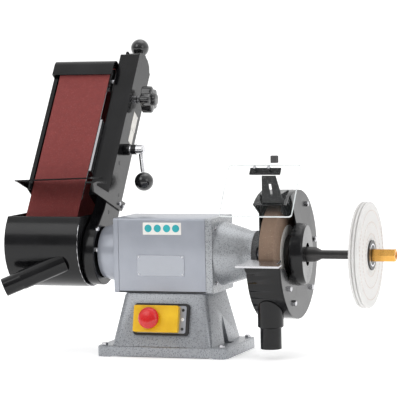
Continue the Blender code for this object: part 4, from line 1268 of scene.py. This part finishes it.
@dataclass
class Studio:
    """Pale floor, soft lights and the camera."""

    target: Point = (0.0528, 0.0, 0.2942)
    azimuth: float = 19.1
    elevation: float = 3.95
    roll: float = -1.15
    distance: float = 4.48
    lens: float = 210.24
    floor_half: float = 30.0
    floor_glow: float = 0.35
    sky: tuple[float, float] = (0.24, 0.95)
    sky_depth: tuple[float, float] = (-0.9, 0.3)
    zenith: tuple[float, float] = (0.0, 0.35)
    zenith_height: tuple[float, float] = (0.1, 0.9)
    backdrop: float = 1.15
    lamps: tuple = (("key", (-1.6, -2.6, 2.6), 1.8, 20.0), ("fill", (2.6, -1.6, 1.6), 1.6, 9.0),
                    ("top", (0.2, 0.6, 3.0), 2.0, 14.0))

    def build(self) -> None:
        """Make the floor, the lights and the camera."""
        self._floor()
        self._world()
        for name, at, size, power in self.lamps:
            self._light(name, at, size, power)
        self._camera()

    def _floor(self) -> None:
        """A plain pale floor under the machine."""
        bm = bmesh.new()
        half = self.floor_half
        bm.faces.new([bm.verts.new((x, y, 0.0)) for x, y in ((-half, -half), (half, -half), (half, half),
                                                             (-half, half))])
        mesh = bpy.data.meshes.new("floor")
        bm.to_mesh(mesh)
        bm.free()
        floor = bpy.data.objects.new("floor", mesh)
        paint = bpy.data.materials.new("floor_paint")
        paint.use_nodes = True
        shader = paint.node_tree.nodes["Principled BSDF"]
        shader.inputs["Base Color"].default_value = (0.98, 0.98, 0.98, 1.0)
        shader.inputs["Roughness"].default_value = 0.9
        shader.inputs["Emission Color"].default_value = (1.0, 1.0, 1.0, 1.0)
        shader.inputs["Emission Strength"].default_value = self.floor_glow
        mesh.materials.append(paint)
        bpy.context.scene.collection.objects.link(floor)

    def _world(self) -> None:
        """Soft studio: dim in front, bright above and behind, on a white backdrop."""
        world = bpy.data.worlds.new("studio")
        world.use_nodes = True
        tree, link = world.node_tree, world.node_tree.links.new
        around = tree.nodes["Background"]
        coords = tree.nodes.new("ShaderNodeTexCoord")
        parts = tree.nodes.new("ShaderNodeSeparateXYZ")
        link(coords.outputs["Generated"], parts.inputs[0])
        depth = self._spread(tree, parts.outputs["Y"], self.sky_depth, self.sky)
        depth.interpolation_type = "SMOOTHSTEP"
        height = self._spread(tree, parts.outputs["Z"], self.zenith_height, self.zenith)
        total = tree.nodes.new("ShaderNodeMath")
        link(depth.outputs["Result"], total.inputs[0])
        link(height.outputs["Result"], total.inputs[1])
        link(total.outputs[0], around.inputs["Strength"])
        around.inputs["Color"].default_value = (1.0, 1.0, 1.0, 1.0)
        backdrop = tree.nodes.new("ShaderNodeBackground")
        backdrop.inputs["Color"].default_value = (1.0, 1.0, 1.0, 1.0)
        backdrop.inputs["Strength"].default_value = self.backdrop
        path = tree.nodes.new("ShaderNodeLightPath")
        mixed = tree.nodes.new("ShaderNodeMixShader")
        link(path.outputs["Is Camera Ray"], mixed.inputs[0])
        link(around.outputs[0], mixed.inputs[1])
        link(backdrop.outputs[0], mixed.inputs[2])
        link(mixed.outputs[0], tree.nodes["World Output"].inputs["Surface"])
        bpy.context.scene.world = world

    @staticmethod
    def _spread(tree: bpy.types.NodeTree, value: object, given: tuple[float, float],
                wanted: tuple[float, float]) -> bpy.types.Node:
        """Return a Map Range node that carries one range of a value to another."""
        node = tree.nodes.new("ShaderNodeMapRange")
        tree.links.new(value, node.inputs["Value"])
        names = ("From Min", "From Max", "To Min", "To Max")
        for name, number in zip(names, (*given, *wanted)):
            node.inputs[name].default_value = number
        return node

    def _light(self, name: str, at: Point, size: float, power: float) -> None:
        """Add one soft square light that faces the machine."""
        lamp = bpy.data.lights.new(name, "AREA")
        lamp.size = size
        lamp.energy = power
        holder = bpy.data.objects.new(name, lamp)
        holder.location = at
        holder.rotation_euler = (Vector(self.target) - Vector(at)).to_track_quat("-Z", "Y").to_euler()
        bpy.context.scene.collection.objects.link(holder)

    def _camera(self) -> None:
        """Add the camera on its line of sight, with its small roll."""
        a, e, roll = radians(self.azimuth), radians(self.elevation), radians(self.roll)
        ahead = Vector((-sin(a) * cos(e), cos(a) * cos(e), -sin(e)))
        level = Vector((cos(a), sin(a), 0.0))
        upright = level.cross(ahead)
        right = level * cos(roll) + upright * sin(roll)
        up = upright * cos(roll) - level * sin(roll)
        lens = bpy.data.cameras.new("camera")
        lens.lens = self.lens
        lens.sensor_width = 36.0
        lens.clip_end = 200.0
        camera = bpy.data.objects.new("camera", lens)
        turn = Matrix((right, up, -ahead)).transposed().to_4x4()
        camera.matrix_world = Matrix.Translation(Vector(self.target) - ahead * self.distance) @ turn
        bpy.context.scene.collection.objects.link(camera)
        bpy.context.scene.camera = camera


def main() -> None:
    """Load the frame, dress every piece, add what the frame leaves out, and light it."""
    logging.basicConfig(level=logging.INFO, format="%(name)s: %(message)s")
    for old in list(bpy.data.objects):
        bpy.data.objects.remove(old, do_unlink=True)
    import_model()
    bpy.context.scene.view_settings.view_transform = "Standard"
    Studio().build()
    for piece in (*EASED, *PLAIN):
        piece.build()
    for assembly in assemblies():
        assembly.build()


if __name__ == "__main__":
    main()
